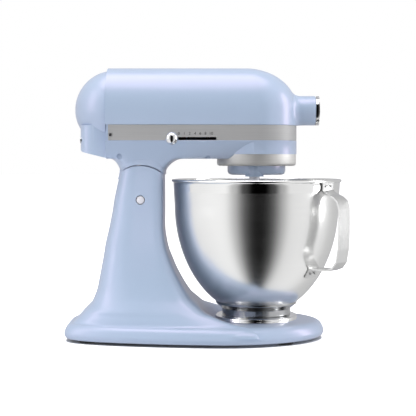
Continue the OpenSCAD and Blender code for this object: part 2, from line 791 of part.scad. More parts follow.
module brushes() {
    color("black") for (side = [-1, 1])
        translate([holder_x + 3, side * 24 - 10 + 0.3 * side, motor_z - 3]) cube([9, 20, 6]);
}

board_x = [-100, -50];
board_y = [-32, 32];
board_z = floor_z + 2;
module control_board() {
    color("darkgreen") translate([board_x[0] - 6, board_y[0] - 6, board_z])
        cube([board_x[1] - board_x[0] + 12, board_y[1] - board_y[0] + 12, 1.6]);
}

module armature_shaft() {
    color("silver") {
        along_x(frame_x - 4, 0, motor_z) cylinder(r = motor_r, h = worm_x + 19 - frame_x + 4);
        along_x(worm_x - 10, 0, motor_z) cylinder(r = worm_pitch_r - gear_gap / 2, h = 20);
    }
}

module armature_core() {
    color("dimgray") along_x(field_x, 0, motor_z) difference() {
        cylinder(r = core_r, h = field_len);
        cylinder(r = motor_r, h = TOOL, center = true);
    }
}

module commutator() {
    color("peru") along_x(holder_x + 1, 0, motor_z) difference() {
        cylinder(r = 13.5, h = 13);
        cylinder(r = motor_r, h = TOOL, center = true);
    }
}

fan_x = field_x + field_len + 9;
module cooling_fan() {
    color("black") along_x(fan_x, 0, motor_z) difference() {
        union() {
            cylinder(r = 36, h = 1.5);
            cylinder(r = 9, h = 9);
            for (a = [0 : 30 : 330]) rotate([0, 0, a]) translate([8, -0.75, 0]) cube([27, 1.5, 9]);
        }
        cylinder(r = motor_r, h = TOOL, center = true);
    }
}

module worm_wheel() {
    color("goldenrod") translate([counter_x, counter_y, motor_z - 4]) difference() {
        cylinder(r = wheel_r - gear_gap / 2, h = 8);
        cylinder(r = counter_r, h = TOOL, center = true);
    }
}

module countershaft() {
    color("silver") translate([counter_x, counter_y, 0]) {
        translate([0, 0, floor_z + 1]) cylinder(r = counter_r, h = counter_top - floor_z - 2);
        translate([0, 0, spur_z]) spur_gear(pinion_teeth, spur_h, mesh_angle + 180 + 180 / pinion_teeth);
    }
}

module centre_shaft() {
    color("silver") at_axis(planet_z) cylinder(r = centre_r, h = hub_z - bevel_r - 2 - planet_z);
}

module centre_gear() {
    color("dimgray") at_axis() difference() {
        union() {
            translate([0, 0, spur_z]) spur_gear(centre_teeth, spur_h, mesh_angle);
            translate([0, 0, spur_z]) cylinder(r = 12, h = hub_z - bevel_r - spur_z);
            translate([0, 0, hub_z - bevel_r - 3]) cylinder(r = bevel_r - gear_gap, h = 3);
            translate([0, 0, hub_z - bevel_r]) cylinder(r1 = bevel_r - gear_gap, r2 = bevel_r - 5 - gear_gap, h = 5);
        }
        cylinder(r = centre_r, h = hub_z - bevel_r - 2);
    }
}

boss_r = 9.6;
boss_foot_r = 12.5;
disc_h = planet_drop + 1;
journal_r = agitator_r + 0.5;
module planetary() {
    color("lightsteelblue") at_axis() difference() {
        union() {
            rotate_extrude($fn = 96) polygon([
                [0, planet_z], [planet_r - 5, planet_z], [planet_r - 1.5, planet_z + 1.5],
                [planet_r, planet_z + 5], [planet_r, planet_z + disc_h], [0, planet_z + disc_h]
            ]);
            at_orbit(planet_z - 2) cylinder(r1 = boss_foot_r, r2 = boss_r, h = 5);
            at_orbit(planet_z + 3) cylinder(r = boss_r, h = disc_h - 4);
        }
        cylinder(r = centre_r, h = TOOL);
        at_orbit(0) cylinder(r = journal_r + shaft_fit, h = TOOL);
        translate([0, 0, planet_z + disc_h / 2]) rotate([0, 90, 0]) cylinder(r = 2, h = TOOL, center = true);
    }
}

module at_orbit(z) {
    rotate([0, 0, -orbit_turn]) translate([0, -orbit_r, z]) children();
}

module planetary_pin() {
    color("gray") at_axis(planet_z + disc_h / 2) rotate([0, 90, 0]) difference() {
        cylinder(r = 2, h = 2 * planet_r - 6, center = true);
        cube([4 * centre_r, 2 * centre_r + 0.02, 2 * centre_r + 0.02], center = true);
    }
}

module agitator_shaft() {
    color("silver") at_axis() at_orbit(0) difference() {
        union() {
            translate([0, 0, planet_z - agitator_len]) cylinder(r = agitator_r, h = agitator_end);
            translate([0, 0, planet_z - agitator_len + agitator_end])
                cylinder(r = journal_r, h = agitator_len + disc_h + 11 - agitator_end);
        }
        translate([0, 0, pin_hole_z]) rotate([0, 90, 0]) cylinder(r = 1.6, h = TOOL, center = true);
    }
}

module agitator_pinion() {
    color("dimgray") at_axis() at_orbit(planet_z + disc_h + 1) difference() {
        spur_gear(agitator_teeth, 9, -90);
        cylinder(r = journal_r, h = TOOL, center = true);
    }
}

module agitator_pin() {
    color("gray") at_axis() at_orbit(pin_hole_z) rotate([0, 90, 0])
        cylinder(r = 1.6, h = 2 * agitator_r + 8, center = true);
}

module hub_drive() {
    color("silver") difference() {
        union() {
            along_x(axis_x + bevel_r + 3, 0, hub_z) cylinder(r = hub_shaft_r, h = hub_x - hub_bore_len - axis_x - bevel_r - 4);
            along_x(axis_x + bevel_r, 0, hub_z) cylinder(r = bevel_r - gear_gap, h = 3);
            along_x(axis_x + bevel_r - 5, 0, hub_z) cylinder(r1 = bevel_r - 5 - gear_gap, r2 = bevel_r - gear_gap, h = 5);
        }
        translate([hub_x - hub_bore_len - 21, -4.5, hub_z - 4.5]) cube([60, 9, 9]);
    }
}

// Hub cover: a flip-up cap, hinged on a knuckle inside the barrel's outline.
cap_pin_r = 1;
cap_pin_x = hub_x + 3.2;
cap_pin_z = hub_z + hub_r - 2.2;
knuckle_half = 3;
cap_flip = 100;
module at_cap_pin() {
    translate([cap_pin_x, 0, cap_pin_z]) rotate([90, 0, 0]) children();
}

module hub_cover() {
    color("silver") difference() {
        union() {
            along_x(hub_x + 0.3, 0, hub_z) cylinder(r = hub_r, h = cap_t - 0.3);
            along_x(hub_x + cap_t, 0, hub_z - 1) cylinder(r = 6, h = 1.5);
        }
        translate([hub_x, -knuckle_half - 0.3, cap_pin_z - 4]) cube([TOOL, 2 * knuckle_half + 0.6, TOOL]);
        translate([hub_x, -TOOL / 2, cap_pin_z - 0.5]) cube([cap_pin_x - 1.6 - hub_x, TOOL, TOOL]);
        at_cap_pin() cylinder(r = cap_pin_r, h = TOOL, center = true);
        translate([cap_pin_x, 0, cap_pin_z]) rotate([0, cap_flip, 0]) translate([-cap_pin_x, 0, -cap_pin_z])
            along_x(hub_x - 10, 0, hub_z) cylinder(r = hub_bore_r + 0.1, h = TOOL);
    }
}

module hub_knuckle() {
    translate([hub_x - 2, -knuckle_half, cap_pin_z - 2])
        cube([cap_pin_x + 1.5 - hub_x + 2, 2 * knuckle_half, 4]);
}

module hub_cover_pin() {
    color("silver") at_cap_pin() cylinder(r = cap_pin_r, h = 15, center = true);
}

module hub_screw() {
    color("black") translate([thumb_x, 0, hub_z]) rotate([-90, 0, 0]) {
        translate([0, 0, hub_bore_r + 1]) cylinder(r = thumb_r, h = hub_r + 7.5 - hub_bore_r);
        translate([0, 0, hub_r + 6]) cylinder(r = 9.5, h = 12);
    }
}

// Speed control: a knob outside the band on a lever that slides over the control board.
knob_x = axis_x - 109;
knob_y = -head_half - 8.5;
lever_half = 2.5;
module speed_lever() {
    color("silver") {
        translate([knob_x - lever_half, knob_y, lever_z - 1.2]) cube([2 * lever_half, -knob_y - 30, 2.4]);
        translate([knob_x - lever_half, -38, board_z + 2]) cube([lever_half - 1, 8, lever_z - board_z - 0.8]);
    }
}

module speed_knob() {
    color("silver") difference() {
        translate([knob_x, knob_y, lever_z]) sphere(r = knob_r);
        translate([knob_x - lever_half, knob_y, lever_z - 1.2]) cube([2 * lever_half, TOOL, 2.4]);
    }
}

module lock_bolt() {
    color("silver") {
        along_x(lock_x, lock_y, lock_z) cylinder(r = lock_r, h = 12);
        translate([lock_x + 9, lock_y, lock_z]) rotate([-90, 0, 0])
            cylinder(r = 2.5, h = pedestal_half + 3 - lock_y);
    }
}

module lock_lever() {
    color("black") difference() {
        translate([lock_x + 3, pedestal_half + 0.6, lock_z - 7]) cube([12, 5, 14]);
        translate([lock_x + 9, 0, lock_z]) rotate([-90, 0, 0]) cylinder(r = 2.5, h = pedestal_half + 3);
    }
}

// Bowl: an elliptical belly under a straight collar, with a rolled rim.
// Its foot shares two of the belly's own points, so that they meet face to face.
function bead(a) = [neck_x + rim_r * cos(a), rim_z + rim_r * sin(a)];
function wall_at(drop) = bowl_r * sqrt(1 - pow((drop - collar_wall_h) / round_h, 2));
function belly(i, inset = 0) = [
    (bowl_r - inset) * cos(belly_angles[i]), shoulder_z - (round_h - inset) * sin(belly_angles[i])
];
belly_last = len(belly_angles) - 1;
bowl_bottom = belly(belly_last)[1];
module bowl() {
    outer = [for (i = [0 : belly_last]) belly(i)];
    inner = [for (i = [belly_last : -1 : 0]) belly(i, bowl_t)];
    color("silver") at_axis() rotate_extrude($fn = 128) {
        polygon(concat(
            [for (a = [200 : -20 : -80]) bead(a)],
            outer,
            [[0, bowl_bottom], [0, inner[0][1]]],
            inner
        ));
    }
}

module bowl_foot() {
    joint_top = belly(foot_at);
    joint_low = belly(foot_at + 1);
    sheet = 1.6;
    color("silver") {
        at_axis() rotate_extrude($fn = 96) polygon([
            joint_top, joint_low, [foot_ring_r - sheet, joint_low[1] - 4],
            [foot_ring_r - sheet, lug_z], [foot_ring_r, lug_z], [foot_ring_r, joint_low[1] - 3],
            [joint_top[0] - 0.6, joint_top[1] - 3]
        ]);
        for (a = [0 : 120 : 240])
            at_axis(lug_z) sector_block(foot_ring_r - 1, foot_ring_r + lug_reach, a - lug_turn / 2, lug_turn, lug_t);
    }
}

// Handle: one bent strap, its plates cut to seat on the bowl.
module strap_side() {
    out = bowl_r + handle_reach;
    difference() {
        polygon([
            [neck_x - 4, rim_z - 3], [neck_x + 1.5, rim_z - 3], [neck_x + 1, rim_z - 13], [neck_x + 5, rim_z - 16],
            [out - 9, rim_z - 21], [out - 3, rim_z - 26], [out, rim_z - 36], [out, rim_z - 66],
            [out - 1, rim_z - 86], [out - 4, rim_z - 103], [out - 10, rim_z - 111], [out - 18, rim_z - 114],
            [wall_at(114) + 0.6, rim_z - 114], [wall_at(125) + strap_t, rim_z - 125],
            [wall_at(123) - 3.7, rim_z - 123], [wall_at(112) - 4.4, rim_z - 112]
        ]);
        polygon([
            [neck_x - 7, rim_z - 3 + EPS], [neck_x - 0.5, rim_z - 3 + EPS],
            [neck_x - 0.8, rim_z - 14], [neck_x + 3, rim_z - 17.5],
            [out - 10, rim_z - 23], [out - 4.8, rim_z - 27.5], [out - strap_t, rim_z - 37], [out - strap_t, rim_z - 66],
            [out - strap_t - 1, rim_z - 85.5], [out - strap_t - 3.6, rim_z - 101.5],
            [out - 11, rim_z - 109], [out - 18, rim_z - 112], [wall_at(112) - 4.4, rim_z - 112], [bowl_r / 2, rim_z - 112]
        ]);
    }
}

module bowl_solid() {
    rotate_extrude($fn = 128) polygon(concat(
        [[0, rim_z + 10], bead(0) + [0.1, 10], [bead(0)[0] + 0.1, bead(-80)[1]], bead(-80) + [0.02, 0]],
        [for (i = [0 : belly_last]) belly(i, -0.02)],
        [[0, bowl_bottom]]
    ));
}

module handle() {
    color("silver") at_axis() difference() {
        rotate([0, 0, -handle_angle]) slab(strap_w) strap_side();
        bowl_solid();
    }
}

module handle_rivets() {
    color("gray") at_axis() rotate([0, 0, -handle_angle]) for (side = [-1, 1]) {
        translate([neck_x + 1.3, side * 5, rim_z - 8]) rotate([0, 90 + 3, 0]) cylinder(r = 1.6, h = 0.9);
        translate([wall_at(119.5) + 1.2, side * 5, rim_z - 119.5]) rotate([0, 90 + 22, 0]) cylinder(r = 1.6, h = 0.9);
    }
}

base();
pedestal();
feet();
pedestal_screws();
clamp_plate();
clamp_screws();
hinge_pin();
pin_set_screw();
gearcase();
upper_housing();
rear_cover();
rear_cover_screw();
housing_screws();
trim_band();
band_screws();
cord_gland();
collar_ring();
ring_gear();
centre_bush();
motor_field();
field_coils();
end_frame();
brush_holders();
brushes();
control_board();
hub_cover_pin();
armature_shaft();
armature_core();
commutator();
cooling_fan();
worm_wheel();
countershaft();
centre_shaft();
centre_gear();
planetary();
planetary_pin();
agitator_shaft();
agitator_pinion();
agitator_pin();
hub_drive();
hub_cover();
hub_screw();
speed_lever();
speed_knob();
lock_bolt();
lock_lever();
bowl();
bowl_foot();
handle();
handle_rivets();
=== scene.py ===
import json
import math

import bmesh
import bpy
from mathutils import Matrix, Vector
from mathutils.bvhtree import BVHTree


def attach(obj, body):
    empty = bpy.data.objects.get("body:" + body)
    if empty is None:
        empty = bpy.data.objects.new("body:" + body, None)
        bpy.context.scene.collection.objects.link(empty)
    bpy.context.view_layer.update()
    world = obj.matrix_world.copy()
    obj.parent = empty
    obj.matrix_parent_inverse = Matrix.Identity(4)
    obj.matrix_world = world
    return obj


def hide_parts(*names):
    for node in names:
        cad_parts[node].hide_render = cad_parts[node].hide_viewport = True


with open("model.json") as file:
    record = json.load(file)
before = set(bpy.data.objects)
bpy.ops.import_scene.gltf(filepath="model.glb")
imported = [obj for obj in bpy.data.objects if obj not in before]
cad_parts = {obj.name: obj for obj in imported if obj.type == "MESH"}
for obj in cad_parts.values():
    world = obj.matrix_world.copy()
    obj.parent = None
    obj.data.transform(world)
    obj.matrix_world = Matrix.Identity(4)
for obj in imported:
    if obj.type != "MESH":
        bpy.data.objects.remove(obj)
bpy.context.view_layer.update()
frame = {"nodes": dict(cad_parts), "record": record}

# All shapes below are drawn in millimetres and become metres when a piece is finished.
# X runs forwards to the hub and Z up. R is a radius, Z a height, and RECESS how deep the band is let in.
AXIS_X = 69.0
PAD_Z = 24.0
PIN_X, PIN_Z = -81.0, 182.3
UNDER_Z = 235.0
BAND_Z, BAND_TOP = 258.3, 278.2
SPLIT_Z = 268.25
RECESS = 1.5
WIDE_Z, CROWN_Z = 285.0, 352.85
HOUSING_X = -124.5
NOSE_R, NOSE_X = 52.6, 121.6
WIDENING = 60 / 52.6 - 1
HUB_X, HUB_Z, HUB_R, BORE_R = 145.6, 297.8, 19.2, 15.7
COLLAR_R, COLLAR_TOP = 51.8, 241.7
ARC_R, ARC_GAP = 44.5, 0.4
SLOT_HALF, TONGUE_HALF = 22.3, 21.9
SKIRT_Z = PIN_Z + 36
SLOT_FROM, SLOT_TO, SLOT_ROOM, LEVER_Z = -45.0, 16.0, 1.9, 260.6
TAIL_X = -159.7
GLAND_Z, GLAND_R = UNDER_Z + 24, 7.05
HEAD_WALL, HEAD_LEDGE = 4.0, 5.5
BOWL_WALL = 1.4
# How deep the dark line over the pedestal is cut, and how far from the middle it starts.
SEAM_DEPTH, SEAM_FROM = 1.1, 36.0
CASE_SCREWS, CASE_RECESS_R = ((5, 38.5), (5, -38.5), (-107.6, 45), (-107.6, -45)), 3.6
# A length past every side of the part, for cutters.
FAR = 400.0


# ---------------------------------------------------------------- mesh tools


def skin(rings):
    """Skins a run of outlines that share one number of points, and closes both ends."""
    columns, rows = len(rings[0]), len(rings) - 1
    bm = bmesh.new()
    verts = bmesh.ops.create_grid(bm, x_segments=columns, y_segments=rows, size=1)["verts"]
    for v in verts:
        column = round((v.co.x + 1) / 2 * columns) % columns
        v.co = rings[round((v.co.y + 1) / 2 * rows)][column]
    bmesh.ops.remove_doubles(bm, verts=bm.verts, dist=0.002)
    bmesh.ops.dissolve_degenerate(bm, dist=0.002, edges=bm.edges)
    bmesh.ops.holes_fill(bm, edges=bm.edges)
    bmesh.ops.recalc_face_normals(bm, faces=bm.faces)
    return bm


def spun(profile, x=AXIS_X, steps=144):
    """Spins a closed (radius, height) profile round an upright axis."""
    bm = bmesh.new()
    verts = [bm.verts.new((x + r, 0, z)) for r, z in profile]
    edges = [bm.edges.new((a, b)) for a, b in zip(verts, verts[1:] + verts[:1])]
    bmesh.ops.spin(
        bm, geom=verts + edges, cent=(x, 0, 0), axis=(0, 0, 1), angle=math.tau, steps=steps, use_merge=True
    )
    bmesh.ops.remove_doubles(bm, verts=bm.verts, dist=0.002)
    bmesh.ops.dissolve_degenerate(bm, dist=0.002, edges=bm.edges)
    bmesh.ops.recalc_face_normals(bm, faces=bm.faces)
    return bm


def slab(points, low, high):
    """Draws a flat outline in X and Z out across Y."""
    bm = bmesh.new()
    face = bm.faces.new([bm.verts.new((x, low, z)) for x, z in points])
    drawn = bmesh.ops.extrude_face_region(bm, geom=[face])["geom"]
    moved = [g for g in drawn if isinstance(g, bmesh.types.BMVert)]
    bmesh.ops.translate(bm, vec=(0, high - low, 0), verts=moved)
    bmesh.ops.recalc_face_normals(bm, faces=bm.faces)
    return bm


def block(x0, x1, y0, y1, z0, z1):
    """A cutting block between two corners."""
    return slab([(x0, z0), (x1, z0), (x1, z1), (x0, z1)], y0, y1)


def rod(radius, start, end, segments=128):
    """A round bar between two points."""
    start, end = Vector(start), Vector(end)
    turn = (end - start).to_track_quat("Z", "Y").to_matrix().to_4x4()
    bm = bmesh.new()
    bmesh.ops.create_cone(
        bm, cap_ends=True, segments=segments, radius1=radius, radius2=radius,
        depth=(end - start).length, matrix=Matrix.Translation((start + end) / 2) @ turn,
    )
    return bm


def joined(first, *others):
    """Puts several meshes in one piece."""
    for other in others:
        carrier = bpy.data.meshes.new("carrier")
        other.to_mesh(carrier)
        other.free()
        first.from_mesh(carrier)
        bpy.data.meshes.remove(carrier)
    return first


def shaped(bm, tool, operation="DIFFERENCE"):
    """Cuts one closed mesh with another, or welds the two."""
    helpers = []
    for source in (bm, tool):
        mesh = bpy.data.meshes.new("helper")
        source.to_mesh(mesh)
        source.free()
        helper = bpy.data.objects.new("helper", mesh)
        bpy.context.scene.collection.objects.link(helper)
        helpers.append(helper)
    modifier = helpers[0].modifiers.new("shape", "BOOLEAN")
    modifier.operation = operation
    modifier.solver = "EXACT"
    modifier.object = helpers[1]
    bpy.context.view_layer.update()
    result = bmesh.new()
    result.from_object(helpers[0], bpy.context.evaluated_depsgraph_get())
    for helper in helpers:
        mesh = helper.data
        bpy.data.objects.remove(helper)
        bpy.data.meshes.remove(mesh)
    return result


def piece(name, bm, body, finish, replaced=(), angle=32):
    """Finishes a mesh as a smooth piece that rides on a body and stands for CAD nodes."""
    bmesh.ops.scale(bm, vec=(0.001,) * 3, verts=bm.verts)
    mesh = bpy.data.meshes.new(name)
    bm.to_mesh(mesh)
    bm.free()
    mesh.polygons.foreach_set("use_smooth", [True] * len(mesh.polygons))
    mesh.set_sharp_from_angle(angle=math.radians(angle))
    obj = bpy.data.objects.new(name, mesh)
    bpy.context.scene.collection.objects.link(obj)
    mesh.materials.append(finish)
    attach(obj, body)
    if replaced:
        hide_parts(*replaced)
    return obj


def edged(obj, width, segments=2, angle=35):
    """Rounds a piece's edges by a width in millimetres."""
    bevel = obj.modifiers.new("edges", "BEVEL")
    bevel.width = width / 1000
    bevel.segments = segments
    bevel.limit_method = "ANGLE"
    bevel.angle_limit = math.radians(angle)
    bevel.harden_normals = True
    return obj


def between(rows, at):
    """Reads a smooth curve through table rows whose first column is the place."""
    last = len(rows) - 1
    k = max(i for i in range(last) if rows[i][0] <= at or i == 0)
    low, high = rows[k], rows[k + 1]
    before, after = rows[max(k - 1, 0)], rows[min(k + 2, last)]
    span = high[0] - low[0]
    t = min(max((at - low[0]) / span, 0), 1)
    values = [at]
    for i in range(1, len(low)):
        start = (high[i] - before[i]) / (high[0] - before[0]) * span
        finish = (after[i] - low[i]) / (after[0] - low[0]) * span
        values.append(
            low[i] * (2 * t**3 - 3 * t**2 + 1) + start * (t**3 - 2 * t**2 + t)
            + high[i] * (3 * t**2 - 2 * t**3) + finish * (t**3 - t**2)
        )
    return values


def oval(z, middle, front, rear, half, powers, taper=0.0, horn=0.0, inset=0.0, count=208):
    """One level superellipse with its own front and rear reach."""
    ring = []
    for i in range(count):
        quarter, share = divmod(4 * i / count, 1)
        angle = math.pi / 2 * (quarter + share * share * (3 - 2 * share))
        ahead = not count < 4 * i < 3 * count
        power = powers[0] if ahead else powers[1]
        u = abs(math.cos(angle)) ** (2 / power)
        v = abs(math.sin(angle)) ** (2 / power)
        reach = (front - inset + horn * v * v) if ahead else inset - rear
        narrow = 1 if ahead else 1 - taper * u**1.5
        across = math.copysign((half - inset) * v * narrow, math.sin(angle))
        ring.append(Vector((middle + reach * u, across, z)))
    return ring


def head_ring(z, inset=0.0, front=NOSE_X, half=NOSE_R):
    """Plan of the head at one height: a round nose, sides that widen rearwards and a straight rear end."""
    r = half - inset
    centre = front - half
    tail_x, tail = HOUSING_X + inset, r * (1 + WIDENING)
    ring = []
    for k in range(64):
        turn = math.pi * k / 64
        ring.append(Vector((centre + r * math.sin(turn), -r * math.cos(turn), z)))
    corners = [(centre, r), (tail_x, tail), (tail_x, -tail), (centre, -r)]
    for (x0, y0), (x1, y1) in zip(corners, corners[1:]):
        ring += [Vector((x0 + (x1 - x0) * k / 48, y0 + (y1 - y0) * k / 48, z)) for k in range(48)]
    return ring


# ---------------------------------------------------------------- finishes


def tone(r, g, b):
    """A colour as seen on screen, 0 to 255, in the values that a shader takes."""
    return tuple(((c / 255 + 0.055) / 1.055) ** 2.4 if c > 10 else c / 255 / 12.92 for c in (r, g, b)) + (1.0,)


def grain_group():
    """Fine grain: colour, gloss and relief that follow one noise, stretched along the way it was worked."""
    group = bpy.data.node_groups.new("worked_grain", "ShaderNodeTree")
    for name, kind in (
        ("Stretch", "NodeSocketVector"), ("Scale", "NodeSocketFloat"), ("Light", "NodeSocketColor"),
        ("Dark", "NodeSocketColor"), ("Gloss", "NodeSocketFloat"), ("Dull", "NodeSocketFloat"),
        ("Relief", "NodeSocketFloat"), ("Depth", "NodeSocketFloat"),
    ):
        group.interface.new_socket(name, in_out="INPUT", socket_type=kind)
    for name, kind in (
        ("Color", "NodeSocketColor"), ("Roughness", "NodeSocketFloat"), ("Normal", "NodeSocketVector"),
    ):
        group.interface.new_socket(name, in_out="OUTPUT", socket_type=kind)
    nodes, links = group.nodes, group.links
    enter, leave = nodes.new("NodeGroupInput"), nodes.new("NodeGroupOutput")
    place = nodes.new("ShaderNodeTexCoord")
    stretch = nodes.new("ShaderNodeVectorMath")
    stretch.operation = "MULTIPLY"
    links.new(place.outputs["Object"], stretch.inputs[0])
    links.new(enter.outputs["Stretch"], stretch.inputs[1])
    noise = nodes.new("ShaderNodeTexNoise")
    noise.inputs["Detail"].default_value = 4
    noise.inputs["Roughness"].default_value = 0.6
    links.new(stretch.outputs["Vector"], noise.inputs["Vector"])
    links.new(enter.outputs["Scale"], noise.inputs["Scale"])
    cloud = nodes.new("ShaderNodeTexNoise")
    cloud.inputs["Scale"].default_value = 14
    cloud.inputs["Detail"].default_value = 2
    links.new(place.outputs["Object"], cloud.inputs["Vector"])
    blend = nodes.new("ShaderNodeMath")
    blend.operation = "MULTIPLY_ADD"
    blend.inputs[1].default_value = 0.6
    links.new(noise.outputs["Fac"], blend.inputs[0])
    share = nodes.new("ShaderNodeMath")
    share.operation = "MULTIPLY"
    share.inputs[1].default_value = 0.4
    links.new(cloud.outputs["Fac"], share.inputs[0])
    links.new(share.outputs["Value"], blend.inputs[2])
    spread = nodes.new("ShaderNodeMapRange")
    spread.inputs["From Min"].default_value = 0.3
    spread.inputs["From Max"].default_value = 0.7
    links.new(blend.outputs["Value"], spread.inputs["Value"])
    colour = nodes.new("ShaderNodeMix")
    colour.data_type = "RGBA"
    links.new(spread.outputs["Result"], colour.inputs["Factor"])
    links.new(enter.outputs["Dark"], colour.inputs[6])
    links.new(enter.outputs["Light"], colour.inputs[7])
    gloss = nodes.new("ShaderNodeMix")
    links.new(spread.outputs["Result"], gloss.inputs["Factor"])
    links.new(enter.outputs["Gloss"], gloss.inputs[2])
    links.new(enter.outputs["Dull"], gloss.inputs[3])
    bump = nodes.new("ShaderNodeBump")
    links.new(enter.outputs["Relief"], bump.inputs["Strength"])
    links.new(enter.outputs["Depth"], bump.inputs["Distance"])
    links.new(noise.outputs["Fac"], bump.inputs["Height"])
    links.new(colour.outputs[2], leave.inputs["Color"])
    links.new(gloss.outputs[0], leave.inputs["Roughness"])
    links.new(bump.outputs["Normal"], leave.inputs["Normal"])
    return group


GRAIN = grain_group()


def finish(name, light, dark, gloss, dull, stretch=(1, 1, 1), scale=400, relief=0.1, depth=0.0002, **shader):
    """A material whose colour, gloss and relief come from the worked grain."""
    material = bpy.data.materials.new(name)
    material.use_nodes = True
    nodes, links = material.node_tree.nodes, material.node_tree.links
    bsdf = nodes["Principled BSDF"]
    grain = nodes.new("ShaderNodeGroup")
    grain.node_tree = GRAIN
    grain.name = "grain"
    for key, value in (
        ("Stretch", stretch), ("Scale", scale), ("Light", tone(*light)), ("Dark", tone(*dark)),
        ("Gloss", gloss), ("Dull", dull), ("Relief", relief), ("Depth", depth),
    ):
        grain.inputs[key].default_value = value
    links.new(grain.outputs["Color"], bsdf.inputs["Base Color"])
    links.new(grain.outputs["Roughness"], bsdf.inputs["Roughness"])
    links.new(grain.outputs["Normal"], bsdf.inputs["Normal"])
    for key, value in shader.items():
        bsdf.inputs[key.replace("_", " ")].default_value = value
    return material


ENAMEL = finish(
    "blue_enamel", (177, 198, 221), (173, 194, 217), 0.3, 0.36, scale=900, relief=0.03, depth=0.0001,
    Specular_IOR_Level=1.0, Specular_Tint=tone(255, 210, 255), Sheen_Weight=0.1, Sheen_Roughness=0.5,
    Sheen_Tint=tone(255, 220, 250), Coat_Weight=0.35, Coat_Roughness=0.2,
)
BAND_STEEL = finish(
    "band_satin", (182, 182, 182), (170, 170, 171), 0.45, 0.55,
    stretch=(10, 10, 900), scale=1, relief=0.15, Metallic=0.2,
)
COLLAR_STEEL = finish(
    "collar_satin", (226, 225, 223), (212, 211, 210), 0.48, 0.56,
    stretch=(8, 8, 900), scale=1, relief=0.05, Metallic=0.75,
)
BOWL_STEEL = finish(
    "bowl_steel", (246, 246, 245), (238, 238, 238), 0.2, 0.28,
    stretch=(6, 6, 1800), scale=1, relief=0.03, depth=0.0001, Metallic=1.0,
)
FOOT_STEEL = finish(
    "foot_steel", (196, 197, 198), (166, 167, 168), 0.12, 0.24,
    stretch=(6, 6, 900), scale=1, relief=0.15, Metallic=1.0,
)
HANDLE_STEEL = finish(
    "handle_steel", (232, 232, 232), (220, 220, 220), 0.2, 0.28,
    stretch=(500, 500, 30), scale=1, relief=0.02, Metallic=1.0,
)
CHROME = finish(
    "bright_chrome", (240, 240, 241), (228, 228, 230), 0.05, 0.1,
    scale=60, relief=0.004, Metallic=1.0,
)
SCREW_STEEL = finish(
    "screw_steel", (222, 224, 226), (196, 198, 202), 0.2, 0.34,
    scale=500, relief=0.1, Metallic=1.0,
)
PIN_STEEL = finish(
    "pin_steel", (244, 244, 250), (230, 230, 238), 0.3, 0.42,
    scale=500, relief=0.05, Metallic=0.15,
)
GEAR_STEEL = finish(
    "gear_steel", (150, 151, 154), (112, 113, 117), 0.3, 0.5,
    scale=300, relief=0.2, Metallic=1.0,
)
BRONZE = finish(
    "bronze", (196, 142, 74), (150, 100, 48), 0.3, 0.5,
    scale=240, relief=0.2, Metallic=1.0,
)
LAMINATION = finish(
    "lamination", (128, 130, 134), (74, 76, 80), 0.4, 0.6,
    stretch=(2400, 3, 3), scale=1, relief=0.6, Metallic=0.9,
)
COPPER = finish(
    "copper_winding", (206, 118, 66), (132, 62, 30), 0.25, 0.45,
    stretch=(1500, 1500, 200), scale=1, relief=0.7, Metallic=0.9,
)
ALLOY = finish(
    "cast_alloy", (168, 170, 172), (138, 140, 143), 0.45, 0.65,
    scale=600, relief=0.5, Metallic=0.8,
)
CARBON = finish("carbon", (44, 44, 46), (26, 26, 28), 0.6, 0.8, scale=700, relief=0.4)
BOARD = finish(
    "circuit_board", (40, 104, 60), (22, 70, 40), 0.35, 0.55,
    stretch=(160, 160, 4), scale=1, relief=0.2,
)
BLACK = finish("black_plastic", (30, 30, 32), (18, 18, 20), 0.4, 0.6, scale=900, relief=0.25)
RUBBER = finish("rubber_feet", (46, 46, 48), (32, 32, 34), 0.7, 0.9, scale=600, relief=0.4)
INK = finish("scale_ink", (14, 14, 16), (10, 10, 12), 0.7, 0.8, scale=900, relief=0.05)


def polish_rim(material, height):
    """Leaves the steel above a height polished and brushes the rest."""
    nodes, links = material.node_tree.nodes, material.node_tree.links
    place = nodes.new("ShaderNodeTexCoord")
    split = nodes.new("ShaderNodeSeparateXYZ")
    links.new(place.outputs["Object"], split.inputs["Vector"])
    edge = nodes.new("ShaderNodeMapRange")
    edge.inputs["From Min"].default_value = height - 0.0006
    edge.inputs["From Max"].default_value = height + 0.0006
    links.new(split.outputs["Z"], edge.inputs["Value"])
    polish = nodes.new("ShaderNodeMix")
    links.new(edge.outputs["Result"], polish.inputs["Factor"])
    links.new(nodes["grain"].outputs["Roughness"], polish.inputs[2])
    polish.inputs[3].default_value = 0.1
    links.new(polish.outputs[0], nodes["Principled BSDF"].inputs["Roughness"])


polish_rim(BOWL_STEEL, 0.1925)

# ---------------------------------------------------------------- stand

# The base's rounded edge: height and inset.
BASE_EDGE = [
    (4, 3), (5, 1.8), (7, 0.6), (10, 0), (13, 0.5), (16, 1.6), (19, 3.3), (21.5, 5.7), (23.1, 8.4), (24, 11.5),
]
# The hollow under the base, from its ceiling down: height and inset.
BASE_HOLLOW = [(20, 16), (19, 12), (16, 8), (4, 7)]
BASE_GAP, BASE_H = 4.0, 20.0
BASE_MIDDLE, BASE_FRONT, BASE_REAR, BASE_HALF = 24.0, 133.7, 205.0, 98.7


def base_ring(z, inset):
    """Plan of the base at one height, drawn in from its widest outline."""
    return oval(z, BASE_MIDDLE, BASE_FRONT, BASE_REAR, BASE_HALF, (2, 6), taper=0.34, inset=inset)


def base_casting():
    """The open base plate with its rounded edge."""
    inner = [base_ring(z, inset) for z, inset in BASE_HOLLOW]
    levels = [BASE_GAP + BASE_H * math.sin(math.pi / 2 * k / 30) for k in range(31)]
    outer = [base_ring(z, between(BASE_EDGE, z)[1]) for z in levels]
    return piece("base_casting", skin(inner + outer), "stand", ENAMEL, ["base"], angle=40)


